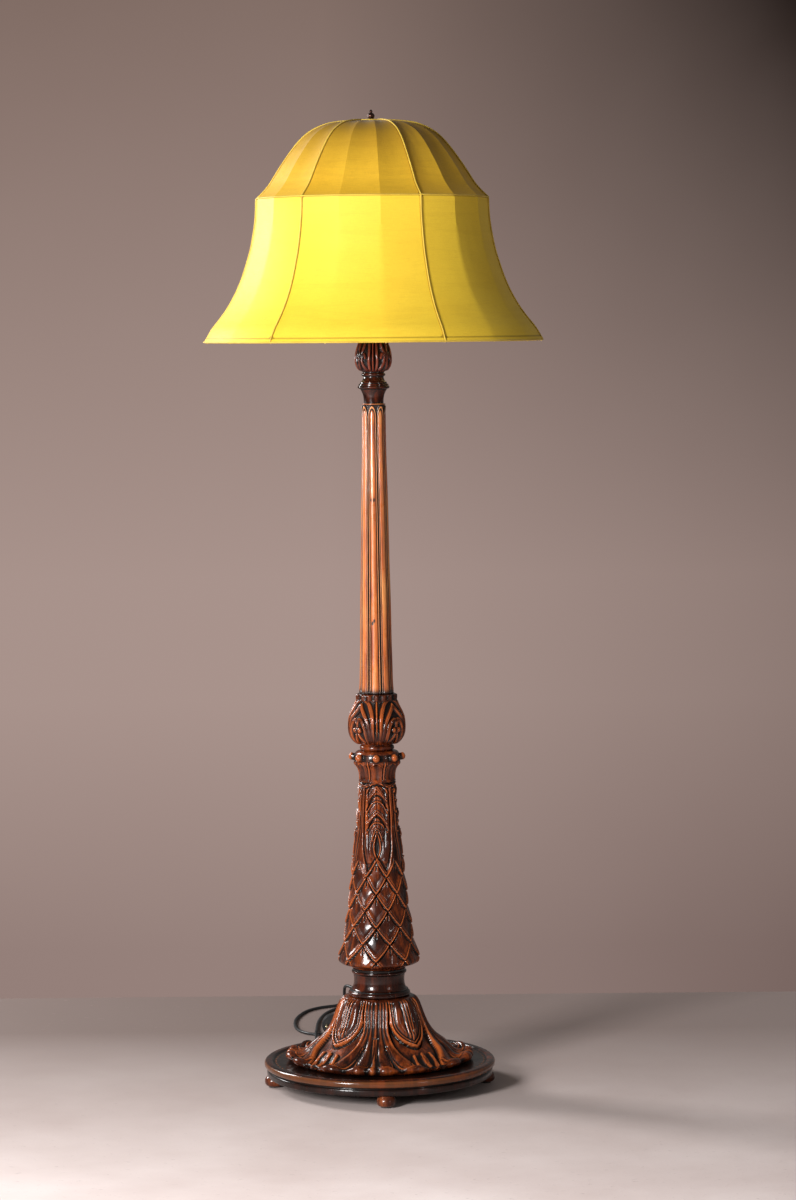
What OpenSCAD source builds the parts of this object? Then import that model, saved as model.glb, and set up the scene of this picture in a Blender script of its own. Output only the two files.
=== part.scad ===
// Carved candlestick floor lamp: turned and carved wooden stand on a tie pipe,
// silk shade on a wire frame, and its lead. Millimetres, +Z up, floor at z = 0,
// origin under the middle of the base, front towards -Y.

/* [Base] */
// Diameter of the base disc over its round edge
base_d = 412; // [380:2:440]
// Thickness of the base disc at its rim
base_t = 28; // [25:1:34]
// Depth of the flat recess inside the rim of the disc
base_recess = 3; // [2:0.5:5]
// Width of the raised rim of the disc
rim_w = 16; // [12:1:24]
// Space between floor and disc that the feet fill
foot_h = 21; // [17:1:28]
// Diameter of a bun foot
foot_d = 34; // [28:1:38]
// Number of bun feet
foot_count = 4; // [3:1:6]
// Thickness of the felt under a foot
pad_t = 1.5; // [1:0.5:3]
// Diameter of the dowel turned on a foot
dowel_d = 10; // [8:1:14]
// Length of that dowel
dowel_l = 12; // [8:1:15]

/* [Wooden stand] */
// Height of the leaf bell above the disc
bell_h = 114; // [95:1:135]
// Diameter of the bell over its leaf tips
bell_d = 330; // [290:2:356]
// Diameter of the bell at its shoulder
bell_top_d = 126; // [118:1:132]
// How far the ribs of the leaves stand out of the bell
leaf_rib_h = 3; // [1.5:0.5:3.5]
// Height of the hollow neck
neck_h = 50; // [48:1:60]
// Diameter of the neck at its waist
neck_d = 90; // [86:1:96]
// Height of the scale-carved shaft
shaft_h = 335; // [290:5:380]
// Diameter of the scale-carved shaft at its foot
shaft_foot_d = 141; // [130:1:150]
// Diameter of the scale-carved shaft at its top
shaft_top_d = 66; // [62:1:72]
// Depth of the grooves between the scales
scale_groove = 2.5; // [1.5:0.5:3]
// Height of the berry collar and its trumpet
collar_h = 54; // [46:1:62]
// Diameter over the berries
collar_d = 99; // [94:1:106]
// Number of berries
berry_count = 8; // [6:1:10]
// Height of the leaf-carved knop
knop_h = 101; // [90:1:115]
// Diameter of the knop
knop_d = 101; // [92:1:112]
// Height of the reeded shaft
reed_h = 513; // [420:1:600]
// Diameter of the reeded shaft at its foot
reed_foot_d = 61; // [58:1:66]
// Diameter of the reeded shaft at its top
reed_top_d = 39; // [37:1:44]
// Number of reeds
reed_count = 8; // [6:1:10]
// Height of the turned cup under the tulip
cup_h = 56; // [50:1:66]
// Diameter of the sharp ring on that cup
cup_ring_d = 56; // [50:1:62]
// Height of the tulip
tulip_h = 73; // [62:1:85]
// Diameter of the tulip
tulip_d = 64; // [58:1:74]
// Length of the turned spigots that join the wooden pieces
spigot_l = 10; // [7:1:10]
// Play around a spigot
spigot_gap = 0.2; // [0.1:0.05:0.4]

/* [Tie pipe and fittings] */
// Outer diameter of the threaded tie pipe
pipe_d = 13; // [13:0.5:14]
// Bore of the tie pipe
pipe_bore_d = 10; // [9:0.5:10]
// Play between the pipe and the wood
pipe_gap = 0.3; // [0.2:0.1:0.6]
// Depth of the counterbore under the disc
sink_depth = 12; // [11:0.5:12]
// Diameter of that counterbore
sink_d = 62; // [58:1:70]
// Diameter of the big washer in the counterbore
washer_d = 50; // [40:1:54]
// Thickness of a washer or plate
plate_t = 2; // [1.5:0.5:2.5]
// Width across the flats of the pipe nuts
nut_af = 19; // [18:0.5:22]
// Height of a pipe nut
nut_h = 6; // [5:0.5:7]
// Diameter of the brass cap on the tulip
cap_d = 46; // [40:1:48]
// Diameter of the brass tube that covers the pipe above the cap
riser_d = 18; // [17:0.5:22]
// Height of that tube
riser_h = 45; // [35:1:60]

/* [Lampholder and bulb] */
// Diameter of the holder's shell
holder_d = 41; // [39:0.5:44]
// Height of the holder's domed cap
holder_cap_h = 20; // [17:1:26]
// Height of the holder's shell
holder_shell_h = 40; // [36:1:46]
// Wall of the holder's brass
holder_wall = 1; // [0.8:0.1:1.4]
// Diameter of the bulb's screw cap
screw_d = 26.4; // [26:0.1:27]
// Height of the bulb's screw cap
screw_h = 25; // [23:0.5:27]
// Diameter of the bulb
bulb_d = 60; // [50:1:66]
// Length of the bulb's glass above its cap
bulb_h = 80; // [72:1:92]
// Play between the screw cap and its shell
screw_gap = 0.4; // [0.3:0.05:0.6]
// Diameter of the switch knob
knob_d = 13; // [10:0.5:15]
// Length of the switch knob
knob_l = 16; // [12:1:20]

/* [Harp] */
// Height of the harp above its saddle
harp_h = 302; // [288:1:320]
// Width of the harp between its wire centres
harp_w = 100; // [90:1:116]
// Width between the wire centres at the saddle
saddle_w = 66.4; // [64:0.2:70]
// Diameter of the harp's wire
harp_wire_d = 3.5; // [3:0.1:4]
// Height of a ferrule
ferrule_h = 16; // [13:1:18]
// Diameter of the threaded stud on the harp
stud_d = 6.1; // [5.5:0.1:6.5]
// Height of that stud above the spider
stud_h = 9; // [7:0.5:10]

/* [Shade] */
// Number of ribs, with a flat face between each pair
rib_count = 18; // [12:6:24]
// Number of piped seams
seam_count = 6; // [3, 6]
// Diameter of the shade at its hem, over the corners
hem_d = 597; // [540:1:640]
// Diameter of the shade at its waist, over the corners
waist_d = 408; // [380:1:430]
// Diameter of the ring at the top of the shade
crown_d = 60; // [54:1:70]
// Rise of the shade's crown above the spider
crown_rise = 8.5; // [8:0.5:14]
// Height of the skirt
skirt_h = 250.5; // [225:0.5:270]
// Height of the dome
dome_h = 135; // [118:0.5:145]
// Turn of the first rib to the right of the front
rib_turn = 4.5; // [0:0.5:19]
// Thickness of the silk and its lining
silk_t = 0.8; // [0.6:0.1:1.2]
// Diameter of a rib's wire
rib_wire_d = 2.6; // [2.2:0.1:3.2]
// Diameter of the wire of the waist and hem rings
ring_wire_d = 3.4; // [3:0.1:4]
// Diameter of the piping
trim_d = 2.6; // [2:0.1:3.4]
// Height of the finial above the spider
finial_h = 25.5; // [22:0.5:32]
// Diameter of the finial
finial_d = 12.4; // [11.6:0.2:14]

/* [Lead] */
// Diameter of the lead
lead_d = 5.6; // [5:0.1:5.6]
// Height of the lead's way out of the neck above the neck's foot
exit_h = 5.6; // [5.6:0.1:6.4]
// Slope of that way out below the level
exit_slope = 12; // [8:1:16]
// Turns of the put-away coil
coil_turns = 3.75; // [3.75, 4.75]
// Radius of the coil's outer turn, at the middle of the lead
coil_out_r = 38.5; // [36:0.5:42]
// Diameter of the plug
plug_d = 38; // [36:1:42]
// Length of the plug's body
plug_l = 38; // [32:1:44]
// Diameter of a plug pin
pin_d = 4.8; // [4:0.1:4.8]
// Length of a plug pin
pin_l = 19; // [17:0.5:19]
// Distance between the plug pins
pin_gap = 19; // [18.6:0.1:19]

/* [Hidden] */
$fn = 64;
EPS = 0.01;

// Heights of the joints, from the floor up
disc_z = foot_h;
rim_z = disc_z + base_t;
bell_z = rim_z - base_recess;
neck_z = rim_z + bell_h;
shaft_z = neck_z + neck_h;
collar_z = shaft_z + shaft_h;
knop_z = collar_z + collar_h;
reed_z = knop_z + knop_h;
cup_z = reed_z + reed_h;
tulip_z = cup_z + cup_h;
cap_z = tulip_z + tulip_h;
nut_z = cap_z + plate_t;
riser_z = nut_z + nut_h;
saddle_z = riser_z + riser_h;
holder_z = saddle_z + plate_t;
spider_z = holder_z + harp_h;
crown_z = spider_z + crown_rise;
waist_z = crown_z - dome_h;
hem_z = waist_z - skirt_h;

// Radii of the sockets and of the bores
pipe_r = pipe_d / 2;
bore_r = pipe_r + pipe_gap;
base_spigot_r = 30;
neck_spigot_r = 27;
shaft_spigot_r = 18;
collar_spigot_r = 18;
knop_spigot_r = 15;
reed_spigot_r = 15;
cup_spigot_r = 11;
tulip_spigot_r = 11;
top_play = 1;

// Hollow neck and the lead's way out of it
chamber_r = neck_spigot_r + spigot_gap;
chamber_h = 33;
lead_r = lead_d / 2;
exit_z = neck_z + exit_h;
exit_turn = 124;
exit_dir = [cos(exit_turn) * cos(exit_slope), sin(exit_turn) * cos(exit_slope), -sin(exit_slope)];
lead_bend_r = 24;
bend_turn = 90 - exit_slope;
grommet_r = lead_r + 1.4;
flange_r = neck_d / 2 + 10;
relief_l = 24;
exit_at = [cos(exit_turn) * flange_r, sin(exit_turn) * flange_r, exit_z];
bend_end = (flange_r - lead_bend_r * (1 - cos(bend_turn))) / cos(exit_slope);
bend_z = exit_z + bend_end * sin(exit_slope) + lead_bend_r * sin(bend_turn);

// Lampholder levels
thread_z = holder_z + holder_cap_h + 8;
screw_z = thread_z + 2;
glass_z = screw_z + screw_h;
shell_z = holder_z + holder_cap_h;
knob_z = shell_z + 9;
knob_y = holder_d / 2 + 3;

// Shade outline, each point as shares of the width and the height
SKIRT = [[0, 0], [0.005, 0.07], [0.02, 0.15], [0.06, 0.25], [0.12, 0.36], [0.195, 0.455],
         [0.29, 0.56], [0.407, 0.66], [0.55, 0.755], [0.70, 0.835], [0.86, 0.91], [1, 1]];
DOME = [[1, 0], [0.93, 0.085], [0.866, 0.181], [0.81, 0.294], [0.752, 0.41], [0.69, 0.525],
        [0.621, 0.645], [0.536, 0.77], [0.433, 0.875], [0.285, 0.958], [0.13, 0.99], [0, 1]];
rib_step = 360 / rib_count;
corner = 1 / cos(rib_step / 2);
seam_ribs = rib_count / seam_count;
SEAM_OFFSET = 1;
hem_flare = (hem_d - waist_d) / 2 * (SKIRT[11][0] - SKIRT[10][0]) / (skirt_h * (SKIRT[11][1] - SKIRT[10][1]));

// Turns of the carving to the right of the front
leaf_turn = -4.5;
scale_turn = -4;
panel_turn = -1.5;
berry_turn = -1.5;
reed_turn = -6;

// Carving of the bell: each point has its degrees from the middle of a leaf and its share of the
// height. LEAF_SIDE is half a leaf's width; a tongue hangs between two leaves
LEAF_SIDE = [[0.04, 37], [0.16, 32], [0.28, 24.5], [0.45, 18.5], [0.6, 16], [0.8, 17], [1, 18]];
LEAF_RIBS = [0, 0.44, -0.44, 0.86, -0.86];
RIB_AT = [0.09, 0.17, 0.28, 0.42, 0.6, 0.78, 0.94];
TONGUE = [[21, 0.93], [21.5, 0.72], [24, 0.6], [30, 0.5], [37, 0.42], [45, 0.38],
          [53, 0.42], [60, 0.5], [66, 0.6], [68.5, 0.72], [69, 0.93]];
FAN = [[[45, 0.3], [45, 0.2], [45, 0.1]], [[39, 0.27], [38, 0.18], [37.5, 0.1]],
       [[51, 0.27], [52, 0.18], [52.5, 0.1]]];
NOTCHES = [-31, -10, 10, 31];
rib_r = 4.5;

// Carving of the shaft: rows of scales up to a panel of husks, whose outline is given as half
// of a loop in degrees from its middle and shares of the shaft's height
RIGHT_STEPS = [0.05, 1, 2, 3, 4, 5, 5.6];
LEFT_STEPS = [0.15, 0.6, 1.5, 2.5, 3.5, 4.5, 5.4];
SCALE_LOW = 0.058;
scale_rise = 0.0878;
PANEL = [[-41, 0.97], [-39, 0.9], [-38.5, 0.78], [-40, 0.66], [-34, 0.57], [-22.5, 0.535], [-11, 0.56],
         [0, 0.585], [11, 0.56], [22.5, 0.535], [34, 0.57], [40, 0.66], [38.5, 0.78], [39, 0.9], [41, 0.97]];

// Lead from the strain relief to the coil; its heights over HIGH follow the neck
ROUTE_A = [[-50, 75, 162], [-56, 85.5, 162.5], [-60.5, 95, 161], [-63, 102.5, 157],
           [-64, 107.5, 150], [-64, 110.5, 142], [-64, 113, 131], [-64, 117, 118],
           [-64.5, 122.5, 105], [-65.5, 130, 92], [-67, 141, 80], [-70, 156, 70],
           [-74, 174, 62], [-79, 192, 56], [-84, 209, 50], [-89, 226, 40], [-94, 241, 28],
           [-99, 257, 16], [-105, 277, 8], [-111, 302, 4], [-116, 332, 2.8],
           [-120, 366, 2.8], [-123, 402, 4.4], [-124, 440, 9.2], [-124, 478, 4.8],
           [-124, 520, 2.8], [-123, 558, 2.8], [-120, 596, 2.8], [-115, 632, 2.8],
           [-107, 664, 2.8], [-96, 692, 2.8], [-81, 714, 2.8], [-62, 729, 2.8],
           [-40, 738, 3.4], [-22, 740, 4.2]];
HIGH = 12;
ROUTE_EXIT_Z = 168.6;
// Lead from the coil to the plug
ROUTE_B = [[-43.5, 720, 10.3], [-47, 735, 10], [-56, 745, 8.6], [-70, 747, 5.8],
           [-83, 742, 3.8], [-95, 734, 2.8], [-108, 727, 2.8], [-125, 714, 2.8],
           [-142, 692, 2.8], [-155, 660, 2.8], [-165, 612, 2.8], [-168, 562, 2.8],
           [-164, 512, 2.8], [-155, 481, 2.8], [-142, 460, 2.8], [-130, 451, 2.8],
           [-115, 447, 2.8], [-98, 446, 2.8], [-80, 447, 2.8], [-64, 452, 2.8],
           [-52, 463, 2.8], [-46, 480, 2.8], [-45, 498, 2.8], [-46, 516, 2.8],
           [-51, 531, 3.6], [-61, 542, 6.5], [-74, 546, 11], [-86, 541, 16],
           [-93, 530, 19.4]];
COIL_MID = [-5, 702];
coil_pitch = 6.1;
coil_low = 4.2;
coil_steps = 24;
coil_lead_in = 6;
tie_t = 1;
tie_w = 8;

// Plug, lying with its pins towards the front
PLUG_AT = [-94, 517];
plug_end = [PLUG_AT[0], PLUG_AT[1], plug_d / 2];
plug_relief_l = 24;

// Coil: spirals in on the floor, climbs a layer in half a turn and spirals out again
coil_mid_turn = coil_turns / 2;
function coil_point(t) =
    let (a = 90 - 360 * t, r = coil_out_r - coil_pitch * (coil_mid_turn - abs(t - coil_mid_turn)),
         up = min(1, max(0, (t - coil_mid_turn + 0.25) * 2)))
    [COIL_MID[0] + r * cos(a), COIL_MID[1] + r * sin(a), coil_low + coil_pitch * up];
coil_rings = coil_turns * coil_steps;
coil_first = coil_point(0);
coil_last = coil_point(coil_turns);
coil_path = concat([coil_first - [coil_lead_in, 0, 0]],
    [for (i = [0:coil_rings]) coil_point(i / coil_steps)],
    [coil_last + [0, coil_lead_in, 0]]);
coil_apart = coil_steps / 2;
coil_gap = min([for (i = [0:coil_rings], j = [i + coil_apart:coil_rings])
    norm(coil_path[i] - coil_path[j])]) - lead_d;

// Paths of the two free stretches
relief_end = exit_at + (1 + relief_l) * exit_dir;
path_a = concat([relief_end],
    [for (q = ROUTE_A) [q[0], q[1], q[2] > HIGH ? q[2] * exit_z / ROUTE_EXIT_Z : q[2]]],
    [coil_path[0]]);
path_b = concat([coil_path[len(coil_path) - 1]], ROUTE_B, [plug_end]);

function unit(v) = v / norm(v);

// Unit vector at an angle to the right of the front
function front_turn(a) = [sin(a), -cos(a)];

// Catmull-Rom curve through the points, with k steps from one to the next
function mid_cr(a, b, c, d, t) =
    0.5 * ((2 * b) + (c - a) * t + (2 * a - 5 * b + 4 * c - d) * t * t
        + (3 * b - a - 3 * c + d) * t * t * t);
function curve(p, k) = let (n = len(p) - 1) concat(
    [for (i = [0:n - 1], s = [0:k - 1])
        mid_cr(i == 0 ? 2 * p[0] - p[1] : p[i - 1], p[i], p[i + 1],
            i == n - 1 ? 2 * p[n] - p[n - 1] : p[i + 2], s / k)], [p[n]]);

// Points kept high enough for the lead to lie on the floor
function grounded(p) = [for (q = p) [q[0], q[1], max(q[2], 2.8)]];

// Directions of a path at its points, with given directions at its ends
function headings(p, first, last) = let (n = len(p) - 1)
    [for (i = [0:n]) i == 0 ? unit(first) : i == n ? unit(last) : unit(p[i + 1] - p[i - 1])];

// A side vector carried along those directions without turning
function sideways(t, s) =
    [for (i = 0, v = unit(s - (s * t[0]) * t[0]); i < len(t);
          i = i + 1, v = i < len(t) ? unit(v - (v * t[i]) * t[i]) : v) v];

// Closed tube of n sides along an open path
module tube(p, first, last, side, r, n) {
    t = headings(p, first, last);
    s = sideways(t, side);
    m = len(p);
    rings = [for (i = [0:m - 1], j = [0:n - 1])
        let (a = 360 * (j + 0.5) / n) p[i] + r * (cos(a) * s[i] + sin(a) * cross(t[i], s[i]))];
    walls = [for (i = [0:m - 2], j = [0:n - 1], h = [0, 1])
        let (k = (j + 1) % n, a = i * n + j, b = i * n + k, c = a + n, d = b + n)
            h == 0 ? [a, c, b] : [b, c, d]];
    foot = [for (j = [1:n - 2]) [0, j, j + 1]];
    top = [for (j = [1:n - 2]) [(m - 1) * n, (m - 1) * n + j + 1, (m - 1) * n + j]];
    polyhedron(concat(rings), concat(walls, foot, top));
}

// Groove or ridge of n sides that follows a turned piece: q holds degrees and heights, outline the
// piece's heights and radii, and the middle of the tube stands out from the surface by rise
module carved_line(q, outline, rise, r, n) {
    p = [for (v = q) let (d = front_turn(v[0]), w = lookup(v[1], outline) + rise)
        [w * d[0], w * d[1], v[1]]];
    m = len(p) - 1;
    tube(p, p[1] - p[0], p[m] - p[m - 1], [0.3, 0.2, 1], r, n);
}

// Closed outline carried round the axis with a corner at each rib and straight sides between
module cornered(section) {
    n = len(section);
    pts = [for (i = [0:rib_count - 1], q = section)
        let (d = front_turn(rib_turn + i * rib_step)) [q[0] * d[0], q[0] * d[1], q[1]]];
    faces = [for (i = [0:rib_count - 1], j = [0:n - 1], h = [0, 1])
        let (u = (i + 1) % rib_count, k = (j + 1) % n, a = i * n + j, b = i * n + k,
             c = u * n + j, d = u * n + k) h == 0 ? [a, b, c] : [b, d, c]];
    polyhedron(pts, faces);
}

// The same of round wire with n sides
module corner_ring(mid_r, z, r, n) {
    cornered([for (j = [0:n - 1]) let (a = 360 * (j + 0.5) / n)
        [mid_r + r * cos(a) * corner, z + r * sin(a)]]);
}

// Shade outlines in millimetres, from the waist down and from the waist up
skirt_line = [for (q = SKIRT)
    [waist_d / 2 + (hem_d - waist_d) / 2 * q[0], waist_z - skirt_h * q[1]]];
dome_line = [for (q = DOME)
    [crown_d / 2 + (waist_d - crown_d) / 2 * q[0], waist_z + dome_h * q[1]]];

// Outline moved inwards by w, square to itself
function inward(p, w, sign) = let (n = len(p) - 1)
    [for (i = [0:n]) let (t = unit(p[min(i + 1, n)] - p[max(i - 1, 0)]))
        p[i] + w * sign * [t[1] * corner, -t[0]]];

function backwards(p) = [for (i = [len(p) - 1:-1:0]) p[i]];

// Turned solid of an outline of radii and heights, closed along the axis
module turned(line) {
    rotate_extrude() polygon(concat([[0, line[0][1]]], line, [[0, line[len(line) - 1][1]]]));
}

// Bore for the tie pipe
module pipe_bore(z0, z1) {
    translate([0, 0, z0 - EPS]) cylinder(r = bore_r, h = z1 - z0 + 2 * EPS);
}

// Spigot that hangs under a wooden piece, and the socket that takes it
module spigot(z, r, l) {
    translate([0, 0, z - l + top_play]) cylinder(r = r, h = l - top_play + EPS);
}
module socket(z, r, l) {
    translate([0, 0, z - l]) cylinder(r = r + spigot_gap, h = l + EPS);
}

module felt_pads() {
    color("dimgray") at_feet() cylinder(d = foot_d * 0.55, h = pad_t);
}

// Places a copy at each foot
module at_feet() {
    for (i = [0:foot_count - 1]) rotate(3.5 + i * 360 / foot_count)
        translate([0, -(base_d / 2 - foot_d / 2), 0]) children();
}

module bun_feet() {
    h = foot_h - pad_t;
    line = concat([[foot_d * 0.28, 0]],
        curve([[foot_d * 0.33, 0.6], [foot_d * 0.47, h * 0.25], [foot_d * 0.5, h * 0.45],
               [foot_d * 0.46, h * 0.7], [foot_d * 0.36, h - 0.6]], 3),
        [[foot_d * 0.34, h], [dowel_d / 2, h], [dowel_d / 2, h + dowel_l - top_play]]);
    color("peru") at_feet() translate([0, 0, pad_t]) turned(line);
}

module base_disc() {
    r = base_d / 2;
    roll = 7;
    roll_z = base_t - roll;
    flat_r = r - rim_w;
    line = concat(
        [[r - 4, 0], [r - 2.5, 1.5], [r - 2.5, base_t - 18], [r - 4, base_t - 16.5],
         [r - 6.5, base_t - 15.5]],
        [for (a = [-75:15:90]) [r - roll + roll * cos(a), roll_z + roll * sin(a)]],
        [[flat_r + 2.5, base_t], [flat_r, base_t - base_recess]]);
    color("saddlebrown") difference() {
        translate([0, 0, disc_z]) turned(line);
        pipe_bore(disc_z, rim_z);
        translate([0, 0, disc_z - EPS]) cylinder(d = sink_d, h = sink_depth + EPS);
        socket(bell_z, base_spigot_r, spigot_l - 2);
        at_feet() translate([0, 0, foot_h - EPS])
            cylinder(r = dowel_d / 2 + spigot_gap, h = dowel_l + EPS);
    }
}

module acanthus_bell() {
    r = bell_d / 2;
    top_r = bell_top_d / 2;
    w = r - top_r;
    lift = rim_z - bell_z;
    leaf = curve([[r, 6 + lift], [top_r + w * 0.84, 12 + lift], [top_r + w * 0.6, 26 + lift],
                  [top_r + w * 0.43, bell_h * 0.3 + lift], [top_r + w * 0.33, bell_h * 0.38 + lift],
                  [top_r + w * 0.205, bell_h * 0.56 + lift], [top_r + w * 0.133, bell_h * 0.75 + lift],
                  [top_r + w * 0.08, bell_h * 0.89 + lift], [top_r, bell_h - 1 + lift]], 4);
    line = concat([[r - 20, 0], [r - 16, 1], [r - 4, 4 + lift]], leaf, [[top_r - 6, bell_h + lift]]);
    wall = [for (q = leaf) [q[1], q[0]]];
    color("sienna") translate([0, 0, bell_z]) difference() {
        union() {
            turned(line);
            spigot(0, base_spigot_r, spigot_l - 2);
            translate([0, 0, neck_z - bell_z - EPS]) cylinder(r = neck_spigot_r, h = 4);
            for (i = [0:3]) {
                middle = leaf_turn + 90 * i;
                for (s = LEAF_RIBS)
                    carved_line([for (h = RIB_AT) [middle + s * lookup(h, LEAF_SIDE), h * bell_h + lift]],
                        wall, leaf_rib_h - rib_r, rib_r, 6);
                carved_line([for (q = TONGUE) [middle + q[0], q[1] * bell_h + lift]],
                    wall, leaf_rib_h - rib_r, rib_r, 6);
                for (f = FAN)
                    carved_line([for (q = f) [middle + q[0], q[1] * bell_h + lift]],
                        wall, leaf_rib_h - 1 - rib_r, rib_r, 6);
            }
        }
        for (i = [0:3], a = NOTCHES) rotate(leaf_turn + 90 * i + a)
            translate([0, -r - 1.5, -EPS]) cylinder(r = 7, h = 24);
        translate([0, 0, -bell_z]) pipe_bore(bell_z - spigot_l, neck_z + 4);
    }
}

module neck_collar() {
    r = neck_d / 2;
    line = concat(
        [[flange_r - 2, 0]],
        [for (a = [-60:30:60]) [flange_r - 4 + 4 * cos(a), 4 + 4 * sin(a)]],
        [[flange_r - 2.5, 8.6], [flange_r - 3, 10], [flange_r - 5.5, 11.5]],
        curve([[r + 3.5, 14], [r + 1, 20], [r, 27], [r + 0.5, neck_h - 13], [r + 1.5, neck_h - 9]], 3),
        [for (a = [-80:40:80]) [r + 1.5 + 2 * cos(a), neck_h - 6.5 + 2 * sin(a)]],
        [[r + 1, neck_h - 3.5], [r + 2, neck_h]]);
    color("brown") difference() {
        translate([0, 0, neck_z]) turned(line);
        translate([0, 0, neck_z - EPS]) cylinder(r = chamber_r, h = chamber_h + EPS);
        pipe_bore(neck_z, shaft_z);
        socket(shaft_z, shaft_spigot_r, spigot_l);
        at_exit() translate([0, 0, chamber_r / 2 - flange_r]) cylinder(r = grommet_r, h = flange_r);
    }
}

// Places a copy where the lead leaves the neck, with its +Z along the lead
module at_exit() {
    translate(exit_at) rotate(exit_turn) rotate([0, 90 + exit_slope, 0]) children();
}

module scaled_shaft() {
    foot_r = shaft_foot_d / 2;
    top_r = shaft_top_d / 2;
    w = foot_r - top_r;
    line = concat([[foot_r - 14, 0], [foot_r - 9, 3], [foot_r - 5, 7], [foot_r - 1, 11], [foot_r, 15],
            [foot_r - 0.5, 20]],
        curve([[foot_r - 3, 27], [top_r + w * 0.78, 48], [top_r + w * 0.62, 78],
               [top_r + w * 0.47, shaft_h * 0.36], [top_r + w * 0.34, shaft_h * 0.5],
               [top_r + w * 0.29, shaft_h * 0.65], [top_r + w * 0.2, shaft_h * 0.7],
               [top_r + w * 0.14, shaft_h * 0.77], [top_r + w * 0.08, shaft_h * 0.9],
               [top_r, shaft_h]], 3));
    wall = [for (q = line) [q[1], q[0]]];
    groove_r = 3.2;
    color("sienna") translate([0, 0, shaft_z]) difference() {
        union() {
            turned(line);
            spigot(0, shaft_spigot_r, spigot_l);
        }
        for (i = [0:7], steps = [RIGHT_STEPS, LEFT_STEPS])
            carved_line([for (k = steps) [scale_turn + 45 * i + (steps == LEFT_STEPS ? -22.5 : 22.5) * k,
                    shaft_h * (SCALE_LOW + scale_rise * k)]],
                wall, groove_r - scale_groove, groove_r, 5);
        for (i = [0:3])
            carved_line([for (q = PANEL) [panel_turn + 90 * i + q[0], q[1] * shaft_h]],
                wall, groove_r - scale_groove, groove_r, 5);
        translate([0, 0, -shaft_z]) pipe_bore(shaft_z - spigot_l, collar_z);
        translate([0, 0, -shaft_z]) socket(collar_z, collar_spigot_r, spigot_l);
    }
}

module berry_collar() {
    r = collar_d / 2;
    berry_r = 6.5;
    foot_r = shaft_top_d / 2;
    line = concat([[foot_r - 0.5, 0]],
        curve([[foot_r - 1, 4], [foot_r, collar_h * 0.36], [foot_r + 4, collar_h * 0.54],
               [r - 6, collar_h * 0.66]], 4),
        [[r - 3.5, collar_h * 0.7], [r - 3, collar_h * 0.8], [r - 3.5, collar_h * 0.92],
         [r - 16, collar_h]]);
    color("peru") difference() {
        union() {
            translate([0, 0, collar_z]) turned(line);
            spigot(collar_z, collar_spigot_r, spigot_l);
            for (i = [0:berry_count - 1]) rotate(berry_turn + i * 360 / berry_count)
                translate([0, -(r - berry_r), collar_z + collar_h * 0.8]) sphere(r = berry_r);
        }
        pipe_bore(collar_z - spigot_l, knop_z);
        socket(knop_z, knop_spigot_r, spigot_l);
    }
}

module vase_knop() {
    r = knop_d / 2;
    line = concat([[28, 0]],
        [for (a = [-60:30:60]) [26.5 + 4 * cos(a), 5 + 4.6 * sin(a)]],
        curve([[29, 10], [r * 0.76, 17], [r * 0.92, 26], [r, 40], [r * 0.995, 54],
               [r * 0.93, 67], [r * 0.82, 77], [r * 0.74, knop_h - 14], [r * 0.71, knop_h - 10]], 3),
        [[r * 0.75, knop_h - 8], [r * 0.75, knop_h - 2], [r * 0.68, knop_h]]);
    color("sienna") difference() {
        union() {
            translate([0, 0, knop_z]) turned(line);
            spigot(knop_z, knop_spigot_r, spigot_l);
        }
        pipe_bore(knop_z - spigot_l, reed_z);
        socket(reed_z, reed_spigot_r, spigot_l);
    }
}

module reeded_shaft() {
    foot_r = reed_foot_d / 2;
    top_r = reed_top_d / 2;
    lip = 25;
    lean = atan((foot_r - top_r) / (reed_h - lip));
    groove_r = 2.4;
    color("peru") difference() {
        union() {
            translate([0, 0, reed_z]) turned([[foot_r, 0], [top_r, reed_h - lip],
                [top_r + 1.5, reed_h - 3], [top_r - 1, reed_h]]);
            spigot(reed_z, reed_spigot_r, spigot_l);
        }
        for (i = [0:reed_count - 1]) rotate(reed_turn + (i + 0.5) * 360 / reed_count)
            translate([0, -foot_r, reed_z]) rotate([-lean, 0, 0])
                translate([0, 0, 6]) cylinder(r = groove_r, h = reed_h - 10, $fn = 24);
        pipe_bore(reed_z - spigot_l, cup_z);
        socket(cup_z, cup_spigot_r, spigot_l);
    }
}

module cup_neck() {
    r = cup_ring_d / 2;
    line = concat([[17, 0]],
        curve([[17.3, 2], [17.6, 8], [18.6, 14], [21, 20], [23, 25]], 3),
        [[r - 3.5, 27.2], [r - 0.6, 28.2], [r, 29.5], [r - 0.8, 31], [r - 1.6, 31.6], [r - 1.8, 34],
         [r - 4.4, 34.8], [r - 4.8, 37.4], [r - 7, 38.2]],
        curve([[20.5, cup_h - 15], [18, cup_h - 11], [17.6, cup_h - 8]], 3),
        [for (a = [-60:30:60]) [18 + 2.6 * cos(a), cup_h - 4 + 2.6 * sin(a)]],
        [[19.5, cup_h - 1], [19.5, cup_h]]);
    color("brown") difference() {
        union() {
            translate([0, 0, cup_z]) turned(line);
            spigot(cup_z, cup_spigot_r, spigot_l);
        }
        pipe_bore(cup_z - spigot_l, tulip_z);
        socket(tulip_z, tulip_spigot_r, spigot_l - 2);
    }
}

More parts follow.
